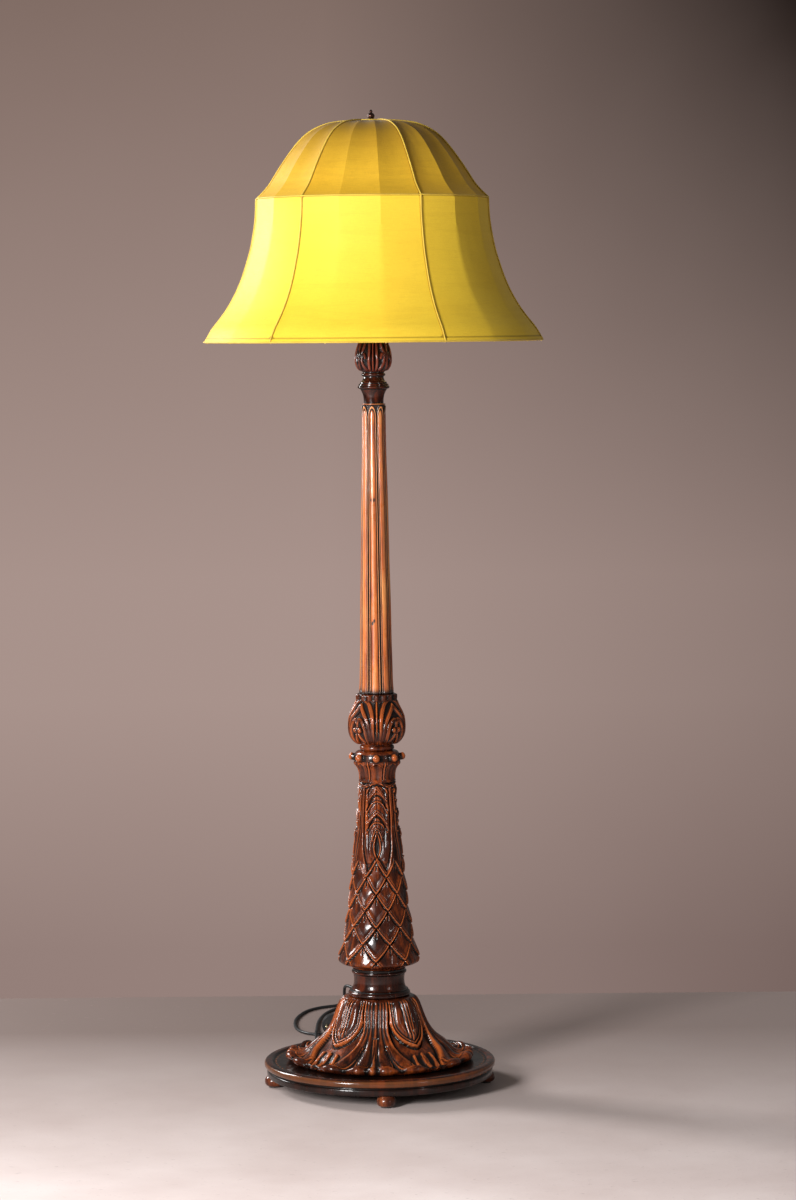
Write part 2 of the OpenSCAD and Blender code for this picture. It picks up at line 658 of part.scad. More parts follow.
module tulip_cup() {
    r = tulip_d / 2;
    line = concat([[20, 0]],
        curve([[21, 1], [r * 0.87, 7], [r * 0.98, 15], [r, 23], [r * 0.985, 31], [r * 0.9, 42],
               [r * 0.76, 52], [r * 0.7, 60], [r * 0.73, tulip_h - 5]], 3),
        [[r * 0.75, tulip_h - 2], [r * 0.7, tulip_h]]);
    color("brown") difference() {
        union() {
            translate([0, 0, tulip_z]) turned(line);
            spigot(tulip_z, tulip_spigot_r, spigot_l - 2);
        }
        pipe_bore(tulip_z - spigot_l, cap_z);
    }
}

module tie_pipe() {
    low = disc_z + 1.5;
    high = holder_z + 10;
    color("silver") difference() {
        translate([0, 0, low]) cylinder(r = pipe_r, h = high - low);
        translate([0, 0, low - EPS]) cylinder(d = pipe_bore_d, h = high - low + 2 * EPS);
        rotate(exit_turn) translate([0, -lead_r - 1.4, bend_z - lead_bend_r])
            cube([pipe_d, lead_d + 2.8, lead_bend_r + 1]);
    }
}

// Flat round plate with a hole for the pipe
module pipe_washer(z, d) {
    translate([0, 0, z]) difference() {
        cylinder(d = d, h = plate_t);
        translate([0, 0, -EPS]) cylinder(r = pipe_r + 0.1, h = plate_t + 2 * EPS);
    }
}

// Hexagon nut on the pipe
module pipe_nut(z) {
    translate([0, 0, z]) difference() {
        cylinder(d = nut_af / cos(30), h = nut_h, $fn = 6);
        translate([0, 0, -EPS]) cylinder(r = pipe_r + 0.05, h = nut_h + 2 * EPS);
    }
}

module base_washer() {
    color("silver") pipe_washer(disc_z + sink_depth - plate_t, washer_d);
}

module base_nut() {
    color("silver") pipe_nut(disc_z + sink_depth - plate_t - nut_h);
}

module top_cap() {
    color("gold") pipe_washer(cap_z, cap_d);
}

module top_nut() {
    color("gold") pipe_nut(nut_z);
}

module riser_tube() {
    color("gold") translate([0, 0, riser_z]) difference() {
        cylinder(d = riser_d, h = riser_h);
        translate([0, 0, -EPS]) cylinder(r = pipe_r + 0.4, h = riser_h + 2 * EPS);
    }
}

module harp_saddle() {
    arm_x = saddle_w / 2 - harp_wire_d / 2 - 0.5;
    arm_t = 1.5;
    arm_w = 4;
    color("gold") {
        difference() {
            union() {
                translate([-arm_x, -5, saddle_z]) cube([2 * arm_x, 10, plate_t]);
                translate([0, 0, saddle_z]) cylinder(d = 24, h = plate_t);
                for (s = [-1, 1]) translate([s * (arm_x - arm_t / 2) - arm_t / 2, -arm_w / 2, saddle_z])
                    cube([arm_t, arm_w, plate_t + ferrule_h + 3]);
            }
            translate([0, 0, saddle_z - EPS]) cylinder(r = pipe_r + 0.1, h = plate_t + 2 * EPS);
        }
    }
}

// Quarter or part bend of the harp's wire in the X-Z plane
module wire_bend(x, z, r, from, sweep) {
    translate([x, 0, z]) rotate([90, 0, 0]) rotate(from)
        rotate_extrude(angle = sweep) translate([r, 0]) circle(d = harp_wire_d, $fn = 32);
}

module harp() {
    half = harp_w / 2;
    foot = saddle_w / 2;
    low = holder_z + 0.5;
    s_r = 60;
    s_turn = acos(1 - (half - foot) / (2 * s_r));
    s_rise = 2 * s_r * sin(s_turn);
    s_z = holder_z + 46;
    bow_z = spider_z - 4.5 - half;
    color("gold") {
        for (s = [0, 180]) rotate(s) {
            translate([foot, 0, low]) cylinder(d = harp_wire_d, h = s_z - low, $fn = 32);
            wire_bend(foot + s_r, s_z, s_r, 180 - s_turn, s_turn);
            wire_bend(half - s_r, s_z + s_rise, s_r, -s_turn, s_turn);
            translate([half, 0, s_z + s_rise])
                cylinder(d = harp_wire_d, h = bow_z - s_z - s_rise, $fn = 32);
            wire_bend(0, bow_z, half, 0, 90);
        }
        translate([0, 0, spider_z - 6.5]) cylinder(r = 7, h = 6.5);
        translate([0, 0, spider_z - EPS]) cylinder(d = stud_d, h = stud_h + EPS);
    }
}

module ferrule(side) {
    mid = side * (saddle_w / 2 - 1.2);
    color("goldenrod") translate([mid, 0, holder_z + 0.4]) difference() {
        cylinder(r = 5, h = ferrule_h);
        translate([0, 0, -EPS]) cylinder(r = 4, h = ferrule_h + 2 * EPS);
    }
}

module ferrule_left() {
    ferrule(-1);
}

module ferrule_right() {
    ferrule(1);
}

module holder_cap() {
    r = holder_d / 2;
    line = curve([[11, 0], [12, 4], [17, 9], [r - 0.8, 14], [r, holder_cap_h]], 4);
    n = len(line) - 1;
    inside = [for (i = [n:-1:0]) if (line[i][1] > plate_t + 1) [line[i][0] - holder_wall, line[i][1]]];
    color("gold") translate([0, 0, holder_z]) rotate_extrude()
        polygon(concat([[pipe_r + 0.05, 0]], line, inside,
            [[10, plate_t], [pipe_r + 0.05, plate_t]]));
}

module holder_shell() {
    r = holder_d / 2;
    color("gold") difference() {
        translate([0, 0, shell_z]) difference() {
            union() {
                cylinder(r = r, h = holder_shell_h);
                translate([0, 0, holder_shell_h - 3]) cylinder(r = r + 1, h = 3);
            }
            translate([0, 0, -EPS]) cylinder(r = r - holder_wall, h = holder_shell_h + 2 * EPS);
        }
        translate([0, 0, knob_z]) rotate([90, 0, 0]) cylinder(r = 2.6, h = holder_d);
    }
}

module holder_insulator() {
    r = holder_d / 2 - holder_wall - 0.05;
    color("white") difference() {
        union() {
            translate([0, 0, shell_z]) cylinder(r = r, h = thread_z - shell_z);
            translate([0, 0, thread_z]) cylinder(r = r, h = screw_h - 4);
        }
        translate([0, 0, thread_z - EPS]) cylinder(r = screw_d / 2 + screw_gap + 0.6, h = screw_h);
        translate([0, 0, knob_z]) rotate([90, 0, 0]) cylinder(r = 2.6, h = holder_d);
        translate([0, 0, shell_z - EPS]) cylinder(r = 4, h = 3);
    }
}

module thread_shell() {
    r = screw_d / 2 + screw_gap;
    color("goldenrod") translate([0, 0, thread_z]) difference() {
        cylinder(r = r + 0.6, h = screw_h - 4);
        translate([0, 0, 0.6]) cylinder(r = r, h = screw_h);
        translate([0, 0, -EPS]) cylinder(r = 6, h = 2);
    }
}

module centre_contact() {
    color("goldenrod") translate([0, 0, thread_z]) cylinder(r = 4, h = screw_z - thread_z - 0.3);
}

module switch_knob() {
    color("saddlebrown") translate([0, 0, knob_z]) rotate([90, 0, 0]) {
        translate([0, 0, holder_d / 2 - holder_wall - 2.5]) cylinder(r = 2.5, h = 6 + holder_wall);
        translate([0, 0, knob_y]) turned([[knob_d / 2 - 1, 0], [knob_d / 2, 1],
            [knob_d / 2 - 0.6, knob_l - 1.5], [knob_d / 2 - 2, knob_l]]);
    }
}

module bulb_cap() {
    r = screw_d / 2;
    line = [[4.5, 0], [5, 1.6], [9, 4.5], [r - 0.6, 6], [r, 7.5], [r, screw_h - 1], [r - 0.5, screw_h]];
    color("silver") translate([0, 0, screw_z]) turned(line);
}

module bulb_glass() {
    r = bulb_d / 2;
    mid = bulb_h - r;
    line = concat(curve([[12.4, 0], [13, 8], [17, 20], [r * 0.82, mid - 18], [r * 0.97, mid - 6]], 3),
        [for (a = [0:10:80]) [r * cos(a), mid + r * sin(a)]]);
    color("ivory") translate([0, 0, glass_z + 0.1])
        rotate_extrude() polygon(concat([[0, 0]], line, [[0, bulb_h]]));
}

module finial() {
    r = finial_d / 2;
    line = concat([[r * 0.85, 0], [r * 0.85, 2], [r * 0.6, 4], [r * 0.6, 7]],
        curve([[r * 0.8, 9], [r, finial_h * 0.52], [r, finial_h * 0.62], [r * 0.75, finial_h * 0.72],
               [r * 0.33, finial_h * 0.78]], 3),
        curve([[r * 0.36, finial_h * 0.82], [r * 0.46, finial_h * 0.88], [r * 0.25, finial_h * 0.96]], 3),
        [[0.3, finial_h]]);
    color("saddlebrown") translate([0, 0, spider_z + 2.5]) difference() {
        turned(line);
        translate([0, 0, -EPS]) cylinder(d = stud_d + 0.14, h = stud_h - 2.5 + 0.6);
    }
}

module shade_spider() {
    ring_r = crown_d / 2 - 1;
    arm_end = [ring_r, crown_z - rib_wire_d / 2 - silk_t - spider_z - 1.2];
    arm_from = 10;
    lean = atan2(arm_end[1], arm_end[0] - arm_from);
    arm_l = norm([arm_end[0] - arm_from, arm_end[1]]);
    color("gold") {
        translate([0, 0, crown_z - rib_wire_d / 2 - silk_t]) rotate_extrude()
            translate([ring_r, 0]) circle(d = rib_wire_d, $fn = 24);
        for (i = [0:2]) rotate(30 + 120 * i) translate([arm_from, 0, spider_z + 1.25])
            rotate([0, 90 - lean, 0]) cylinder(r = 1.2, h = arm_l, $fn = 24);
        difference() {
            translate([0, 0, spider_z]) cylinder(r = 14, h = 2.5);
            translate([0, 0, spider_z - EPS]) cylinder(d = stud_d + 0.14, h = 3);
        }
    }
}

// Line of the wires behind the silk
rib_sink = silk_t + rib_wire_d / 2 - 0.1;
rib_line = concat(inward([for (i = [len(dome_line) - 1:-1:1]) dome_line[i]], rib_sink, 1),
    inward(skirt_line, rib_sink, 1));

module shade_ribs() {
    color("tan") for (i = [0:rib_count - 1]) {
        d = front_turn(rib_turn + i * rib_step);
        path = [for (q = rib_line) [q[0] * d[0], q[0] * d[1], q[1]]];
        n = len(path) - 1;
        tube(path, path[1] - path[0], path[n] - path[n - 1], [d[1], -d[0], 0], rib_wire_d / 2, 6);
    }
}

module waist_ring() {
    color("tan") corner_ring(waist_d / 2 - silk_t - ring_wire_d / 2 - rib_wire_d * 0.9,
        waist_z, ring_wire_d / 2, 8);
}

module hem_ring() {
    off = (silk_t + ring_wire_d / 2) * norm([1, hem_flare]) + hem_flare * ring_wire_d / 2;
    color("tan") corner_ring(hem_d / 2 - off, hem_z + ring_wire_d / 2, ring_wire_d / 2, 8);
}

module dome_cover() {
    color("gold") cornered(concat(dome_line, backwards(inward(dome_line, silk_t, -1))));
}

module skirt_cover() {
    color("gold") cornered(concat(inward(skirt_line, silk_t, 1), backwards(skirt_line)));
}

module rib_trims() {
    rise = -(trim_d / 2 - 0.3);
    path2 = concat(inward([for (i = [len(dome_line) - 1:-1:1]) dome_line[i]], rise, 1),
        inward(skirt_line, rise, 1));
    color("olive") for (k = [0:seam_count - 1]) {
        d = front_turn(rib_turn + (SEAM_OFFSET + k * seam_ribs) * rib_step);
        path = [for (q = path2) [q[0] * d[0], q[0] * d[1], q[1]]];
        n = len(path) - 1;
        tube(path, path[1] - path[0], path[n] - path[n - 1], [d[1], -d[0], 0], trim_d / 2, 6);
    }
}

module waist_trim() {
    color("olive") corner_ring(waist_d / 2 + trim_d / 2 - 0.3, waist_z, trim_d / 2, 8);
}

module hem_trim() {
    color("olive") corner_ring(hem_d / 2 + trim_d / 2 - 0.9, hem_z + trim_d / 2, trim_d / 2, 8);
}

module lead_gland() {
    wall = flange_r - chamber_r + 2;
    color("black") at_exit() difference() {
        union() {
            translate([0, 0, -wall]) cylinder(r = grommet_r - 0.05, h = wall + 1);
            translate([0, 0, -0.5]) cylinder(r = grommet_r + 1, h = 2);
            translate([0, 0, 1]) cylinder(r1 = grommet_r + 0.4, r2 = lead_r + 0.7, h = relief_l);
        }
        translate([0, 0, -wall - 1]) cylinder(r = lead_r + 0.02, h = wall + relief_l + 3);
    }
}

module inner_lead() {
    bend = [for (i = [0:12]) let (a = bend_turn * i / 12)
        [lead_bend_r * (1 - cos(a)), 0, bend_z - lead_bend_r * sin(a)]];
    out = [cos(exit_slope), 0, -sin(exit_slope)];
    path = concat([[0, 0, shell_z + 2.9]], bend,
        [[flange_r, 0, exit_z] + (1 + relief_l) * out]);
    color("black") rotate(exit_turn) tube(path, [0, 0, -1], out, [0, 1, 0], lead_r, 12);
}

module lead_to_coil() {
    color("black") tube(grounded(curve(path_a, 2)), exit_dir, [1, 0, 0], [0, 0, 1], lead_r, 8);
}

module lead_coil() {
    echo("least gap between the turns of the coil", coil_gap);
    color("black") tube(coil_path, [1, 0, 0], [0, 1, 0], [0, 0, 1], lead_r, 6);
}

module coil_tie() {
    in_r = coil_out_r - coil_pitch * coil_mid_turn - lead_r - 0.6;
    out_r = coil_out_r + lead_r + 0.6;
    low = coil_low - lead_r - 0.2;
    high = coil_low + coil_pitch + lead_r + 0.4;
    color("dimgray") translate([COIL_MID[0], COIL_MID[1], 0]) rotate(-40) difference() {
        translate([in_r - tie_t, -tie_w / 2, low - tie_t])
            cube([out_r - in_r + 2 * tie_t, tie_w, high - low + 2 * tie_t]);
        translate([in_r, -tie_w, low]) cube([out_r - in_r, 2 * tie_w, high - low]);
    }
}

module lead_to_plug() {
    color("black") tube(grounded(curve(path_b, 2)), [0, 1, 0], [0, -1, 0], [0, 0, 1], lead_r, 8);
}

module plug_relief() {
    color("black") translate(plug_end) rotate([90, 0, 0])
        cylinder(r1 = lead_r + 0.6, r2 = 6.5, h = plug_relief_l);
}

module plug_body() {
    r = plug_d / 2;
    line = concat(curve([[8, 0], [r * 0.62, 2.5], [r * 0.88, 8], [r * 0.98, 16]], 3),
        [[r, 19], [r, plug_l - 1.5], [r - 1.5, plug_l]]);
    color("black") translate(plug_end - [0, plug_relief_l, 0]) rotate([90, 0, 0]) turned(line);
}

module plug_pins() {
    y = plug_end[1] - plug_relief_l - plug_l;
    color("silver") for (s = [-1, 1])
        translate([plug_end[0] + s * pin_gap / 2, y, plug_end[2]]) rotate([90, 0, 0]) {
            cylinder(d = pin_d, h = pin_l - 1);
            translate([0, 0, pin_l - 1]) cylinder(d1 = pin_d, d2 = pin_d - 1.2, h = 1);
        }
}

felt_pads();
bun_feet();
base_disc();
acanthus_bell();
neck_collar();
scaled_shaft();
berry_collar();
vase_knop();
reeded_shaft();
cup_neck();
tulip_cup();
tie_pipe();
base_washer();
base_nut();
top_cap();
top_nut();
riser_tube();
harp_saddle();
harp();
ferrule_left();
ferrule_right();
holder_cap();
holder_shell();
holder_insulator();
thread_shell();
centre_contact();
switch_knob();
bulb_cap();
bulb_glass();
finial();
shade_spider();
shade_ribs();
waist_ring();
hem_ring();
dome_cover();
skirt_cover();
rib_trims();
waist_trim();
hem_trim();
lead_gland();
inner_lead();
lead_to_coil();
lead_coil();
coil_tie();
lead_to_plug();
plug_relief();
plug_body();
plug_pins();
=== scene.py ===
# %% [markdown]
# # A carved candlestick floor lamp
# The lamp is a turned and carved wooden stand with a silk shade over a wire frame. The solid
# model already says where every piece is, so this lesson only makes the surfaces that the eye
# reads: carving, polish, silk, piping and the rubber lead. Nothing is ever moved from where the
# solid model put it.

# %% Load the solid model
import math

import bpy
import numpy as np
from mathutils import Matrix


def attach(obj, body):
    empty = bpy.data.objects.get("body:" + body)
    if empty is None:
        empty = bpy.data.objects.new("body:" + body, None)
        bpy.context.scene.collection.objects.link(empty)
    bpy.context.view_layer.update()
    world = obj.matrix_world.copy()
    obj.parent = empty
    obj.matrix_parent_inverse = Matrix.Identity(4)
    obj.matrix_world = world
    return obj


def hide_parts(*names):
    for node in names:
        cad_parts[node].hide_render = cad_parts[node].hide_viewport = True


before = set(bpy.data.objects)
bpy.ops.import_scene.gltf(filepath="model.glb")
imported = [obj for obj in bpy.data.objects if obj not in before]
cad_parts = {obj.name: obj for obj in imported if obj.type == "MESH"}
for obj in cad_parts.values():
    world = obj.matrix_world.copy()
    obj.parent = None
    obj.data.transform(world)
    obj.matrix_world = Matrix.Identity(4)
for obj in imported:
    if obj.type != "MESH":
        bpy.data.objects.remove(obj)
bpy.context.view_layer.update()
MM = 0.001

# %% [markdown]
# ## The camera
# The camera could be placed by eye, but a lamp is tall and thin, so a small error shows at once
# at one of its ends. This one was solved: its place, tilt and lens make the turned rings and the
# corners of the shade fall where the photograph has them. It stands 6.4 m away with a long lens,
# looks 4.4 degrees down and leans half a degree.

# %% Camera
CAMERA_AT = (0.03967, -6.40457, 1.36512)
CAMERA_PITCH = 0.077413
CAMERA_ROLL = -0.0090174
FOCAL_PIXELS = 3631.27
PICTURE_HEIGHT = 1200
SENSOR = 36.0


def camera_axes(pitch, roll):
    """Right, up and back axes: a level view tipped down by pitch, then rolled about its own line."""
    forward = np.array([0.0, math.cos(pitch), -math.sin(pitch)])
    level_up = np.array([0.0, math.sin(pitch), math.cos(pitch)])
    right = math.cos(roll) * np.array([1.0, 0.0, 0.0]) + math.sin(roll) * level_up
    up = -math.sin(roll) * np.array([1.0, 0.0, 0.0]) + math.cos(roll) * level_up
    return right, up, -forward


camera = bpy.data.objects.new("camera", bpy.data.cameras.new("camera"))
bpy.context.scene.collection.objects.link(camera)
right, up, back = camera_axes(CAMERA_PITCH, CAMERA_ROLL)
camera.matrix_world = Matrix([[right[i], up[i], back[i], CAMERA_AT[i]] for i in range(3)] + [[0, 0, 0, 1]])
camera.data.sensor_width = SENSOR
camera.data.lens = FOCAL_PIXELS * SENSOR / PICTURE_HEIGHT
bpy.context.scene.camera = camera
print("lens, mm:", round(camera.data.lens, 2))

# %% [markdown]
# ## Two kinds of surface
# Nearly every new piece is one of two things. A **turned** piece is a grid whose rows climb its
# outline and whose columns go round the axis: carving is then only a height added to each grid
# point. A **swept** piece is a ring of points carried along a path, which gives wire, piping and
# the lead. Both are worked out as whole numpy arrays and handed to Blender in one go.

# %% Helpers for meshes
def front_direction(angle):
    """Unit vectors at angles, in degrees, to the right of the front: (sin, -cos)."""
    a = np.radians(angle)
    return np.stack([np.sin(a), -np.cos(a)], -1)


def smooth(a, b, x):
    """0 below a, 1 above b and an S curve between: 3t^2 - 2t^3."""
    t = np.clip((x - a) / (b - a), 0.0, 1.0)
    return t * t * (3 - 2 * t)


def bead(d, half):
    """A round-topped ridge: 1 at distance 0, (1 - (d/half)^2)^2 inside half, 0 outside."""
    return np.clip(1 - (d / half) ** 2, 0.0, None) ** 2


def ridge(d, half):
    """A half-round ridge: sqrt(1 - (d/half)^2) inside half, 0 outside."""
    return np.sqrt(np.clip(1 - (d / half) ** 2, 0.0, None))


def run_of(line):
    """Distance along a flat line of points, from its first point."""
    return np.r_[0, np.cumsum(np.hypot(*np.diff(line, axis=0).T))]


def catmull(points, steps):
    """Catmull-Rom curve through the points, with steps from one to the next."""
    p = np.asarray(points, float)
    p = np.vstack([2 * p[0] - p[1], p, 2 * p[-1] - p[-2]])
    t = (np.arange(steps) / steps)[None, :, None]
    a, b, c, d = (p[i:len(p) - 3 + i, None, :] for i in range(4))
    q = 0.5 * (2 * b + (c - a) * t + (2 * a - 5 * b + 4 * c - d) * t ** 2
               + (3 * b - a - 3 * c + d) * t ** 3)
    return np.vstack([q.reshape(-1, p.shape[1]), p[-2]])


def make_mesh(name, points, faces, body, material, round_edges=None):
    """Puts arrays of points (metres) and faces into a new object that rides on a body."""
    mesh = bpy.data.meshes.new(name)
    mesh.from_pydata(points.reshape(-1, 3).tolist(), [], faces)
    mesh.polygons.foreach_set("use_smooth", np.ones(len(mesh.polygons), bool))
    if round_edges is not None:
        mesh.set_sharp_from_angle(angle=math.radians(round_edges))
    mesh.update()
    piece = bpy.data.objects.new(name, mesh)
    bpy.context.scene.collection.objects.link(piece)
    mesh.materials.append(material)
    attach(piece, body)
    return piece


def grid_faces(rows, columns, start=0, wrap_rows=False, wrap_columns=True):
    """Quads of a grid of points, row after row."""
    i = np.arange(rows if wrap_rows else rows - 1)
    j = np.arange(columns if wrap_columns else columns - 1)
    i, j = np.meshgrid(i, j, indexing="ij")
    i2, j2 = (i + 1) % rows, (j + 1) % columns
    quads = np.stack([i * columns + j, i * columns + j2, i2 * columns + j2, i2 * columns + j], -1)
    return (quads.reshape(-1, 4) + start).tolist()


def turned(name, radius, height, angles, material, replace=(), marks=None, round_edges=None,
           at=(0.0, 0.0)):
    """Closed solid of revolution: rows from the bottom to the top of the outline, columns round
    an axis at a place, and a middle point that closes each end. radius and height are in
    millimetres, one value for each row and column."""
    rows, columns = radius.shape
    around = front_direction(angles)
    points = np.concatenate([radius[..., None] * around[None, :, :] + at, height[..., None]], -1) * MM
    ends = np.array([[*at, height[0].mean()], [*at, height[-1].mean()]]) * MM
    faces = grid_faces(rows, columns)
    n = rows * columns
    j = np.arange(columns)
    k = (j + 1) % columns
    faces += np.stack([np.full(columns, n), k, j], -1).tolist()
    last = (rows - 1) * columns
    faces += np.stack([np.full(columns, n + 1), last + j, last + k], -1).tolist()
    piece = make_mesh(name, np.vstack([points.reshape(-1, 3), ends]), faces, "stand", material,
                      round_edges)
    for key, values in (marks or {}).items():
        attribute = piece.data.attributes.new(key, "FLOAT", "POINT")
        attribute.data.foreach_set("value", np.r_[values.ravel(), 0, 0].astype(np.float32))
    if replace:
        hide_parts(*replace)
    print(name, rows, "x", columns)
    return piece


def swept(name, path, radius, sides, material, body, replace=(), closed=False,
          first_side=(0.0, 0.0, 1.0), flat=1.0):
    """A round or oval tube: a ring of sides points, carried along the path in metres with a side
    vector that is turned as little as possible from one point to the next."""
    p = np.asarray(path, float)
    ahead = np.roll(p, -1, 0) - np.roll(p, 1, 0)
    if not closed:
        ahead[0], ahead[-1] = p[1] - p[0], p[-1] - p[-2]
    t = ahead / np.linalg.norm(ahead, axis=1)[:, None]
    side = np.zeros_like(p)
    v = np.asarray(first_side, float)
    for i in range(len(p)):
        v = v - (v @ t[i]) * t[i]
        v = v / np.linalg.norm(v)
        side[i] = v
    other = np.cross(t, side)
    a = np.radians(np.arange(sides) * 360 / sides)
    r = np.broadcast_to(np.asarray(radius, float), (len(p),))[:, None, None]
    ring = np.cos(a)[None, :, None] * side[:, None, :] * flat + np.sin(a)[None, :, None] * other[:, None, :]
    points = p[:, None, :] + r * ring
    faces = grid_faces(len(p), sides, wrap_rows=closed)
    everything = points.reshape(-1, 3)
    if not closed:
        n = len(everything)
        j = np.arange(sides)
        k = (j + 1) % sides
        everything = np.vstack([everything, p[0], p[-1]])
        faces += np.stack([np.full(sides, n), k, j], -1).tolist()
        last = (len(p) - 1) * sides
        faces += np.stack([np.full(sides, n + 1), last + j, last + k], -1).tolist()
    piece = make_mesh(name, everything, faces, body, material)
    along = np.r_[0, np.cumsum(np.linalg.norm(np.diff(p, axis=0), axis=1))]
    attribute = piece.data.attributes.new("along", "FLOAT", "POINT")
    values = np.repeat(along, sides)
    values = values if closed else np.r_[values, 0, along[-1]]
    attribute.data.foreach_set("value", values.astype(np.float32))
    if replace:
        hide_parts(*replace)
    return piece


# %% [markdown]
# ## Building materials from nodes
# A material here is a small chain: coordinates of the object, a noise or a wave for the pattern,
# a colour ramp, and the Principled shader. Numbers that are the same everywhere go straight onto
# the shader's sockets, because a model that is exported keeps only what sits there.

# %% Helpers for materials
class Nodes:
    """Short names for adding and linking the nodes of one material."""

    def __init__(self, name):
        self.material = bpy.data.materials.new(name)
        self.material.use_nodes = True
        self.tree = self.material.node_tree
        self.shader = self.tree.nodes["Principled BSDF"]

    def add(self, kind, **values):
        node = self.tree.nodes.new(kind)
        for key, value in values.items():
            if hasattr(node, key):
                setattr(node, key, value)
            else:
                node.inputs[key.replace("_", " ").title()].default_value = value
        return node

    def link(self, source, target):
        self.tree.links.new(source, target)

    def coordinates(self, scale=(1, 1, 1), source="Object", rotation=(0, 0, 0)):
        place = self.add("ShaderNodeTexCoord")
        mapping = self.add("ShaderNodeMapping")
        mapping.inputs["Scale"].default_value = scale
        mapping.inputs["Rotation"].default_value = rotation
        self.link(place.outputs[source], mapping.inputs["Vector"])
        return mapping.outputs["Vector"]

    def noise(self, vector, scale, detail=4.0, roughness=0.55, distortion=0.0):
        node = self.add("ShaderNodeTexNoise")
        for key, value in (("Scale", scale), ("Detail", detail), ("Roughness", roughness),
                           ("Distortion", distortion)):
            node.inputs[key].default_value = value
        self.link(vector, node.inputs["Vector"])
        return node.outputs["Fac"]

    def ramp(self, value, stops):
        """Colour ramp of (place, colour) stops."""
        node = self.add("ShaderNodeValToRGB")
        while len(node.color_ramp.elements) < len(stops):
            node.color_ramp.elements.new(0.5)
        for element, (place, colour) in zip(node.color_ramp.elements, stops):
            element.position = place
            element.color = (*colour, 1)
        self.link(value, node.inputs["Fac"])
        return node.outputs["Color"]

    def span(self, value, low, high, to_low, to_high):
        """A value carried from one range to another, and kept inside it."""
        node = self.add("ShaderNodeMapRange")
        for key, number in (("From Min", low), ("From Max", high), ("To Min", to_low), ("To Max", to_high)):
            node.inputs[key].default_value = number
        self.link(value, node.inputs["Value"])
        return node.outputs["Result"]

    def mix(self, share, a, b, blend="MIX"):
        """Mix of two colours; each of the three may be a constant or a socket."""
        node = self.add("ShaderNodeMix", data_type="RGBA", blend_type=blend)
        for socket, value in ((node.inputs[0], share), (node.inputs[6], a), (node.inputs[7], b)):
            if isinstance(value, bpy.types.NodeSocket):
                self.link(value, socket)
            elif isinstance(value, (int, float)):
                socket.default_value = value
            else:
                socket.default_value = (*value, 1)
        return node.outputs[2]

    def math(self, operation, a, b=0.0):
        node = self.add("ShaderNodeMath", operation=operation)
        for socket, value in ((node.inputs[0], a), (node.inputs[1], b)):
            if isinstance(value, bpy.types.NodeSocket):
                self.link(value, socket)
            else:
                socket.default_value = value
        return node.outputs[0]

    def attribute(self, name):
        node = self.add("ShaderNodeAttribute")
        node.attribute_name = name
        return node.outputs["Fac"]

    def bump(self, height, strength, distance, below=None):
        node = self.add("ShaderNodeBump")
        node.inputs["Strength"].default_value = strength
        node.inputs["Distance"].default_value = distance
        self.link(height, node.inputs["Height"])
        if below is not None:
            self.link(below, node.inputs["Normal"])
        return node.outputs["Normal"]

    def finish(self, **sockets):
        """Sets or links the Principled shader's sockets and gives the material."""
        for key, value in sockets.items():
            socket = self.shader.inputs[key.replace("_", " ")]
            if isinstance(value, bpy.types.NodeSocket):
                self.link(value, socket)
            elif isinstance(value, tuple):
                socket.default_value = (*value, 1) if len(socket.default_value) == 4 else value
            else:
                socket.default_value = value
        return self.material


def srgb(red, green, blue):
    """Linear colour of a screen colour from 0 to 255: c/12.92 in the dark, ((c+.055)/1.055)^2.4."""
    c = np.array([red, green, blue]) / 255
    return tuple(float(x) for x in np.where(c <= 0.04045, c / 12.92, ((c + 0.055) / 1.055) ** 2.4))


# %% [markdown]
# ## The lead
# A lead is one real length of rubber cable, so it is made first: if it took more room than a neat
# coil does, the solid model would have to change. Its route is the one of the solid model, and
# repeats its points: out of the bush at the back of the neck, down the back of the bell, a loose
# curve over the floor, a small coil behind the lamp and back to the plug. A curve object would
# do, but a swept grid gives even faces and the length along it for the finish.

# %% Rubber of the lead
def rubber(name, colour, roughness):
    n = Nodes(name)
    where = n.coordinates()
    scuffs = n.noise(where, 900.0, 5.0, 0.6)
    dust = n.noise(where, 35.0, 3.0)
    tint = n.mix(n.span(dust, 0.45, 0.75, 0.0, 0.35), colour, tuple(2.6 * c + 0.01 for c in colour))
    return n.finish(Base_Color=tint, Roughness=n.span(scuffs, 0.3, 0.7, roughness - 0.08, roughness + 0.12),
                    Normal=n.bump(scuffs, 0.25, 0.0004))


lead_rubber = rubber("lead_rubber", (0.012, 0.012, 0.013), 0.42)
plug_plastic = rubber("plug_plastic", (0.014, 0.014, 0.015), 0.36)

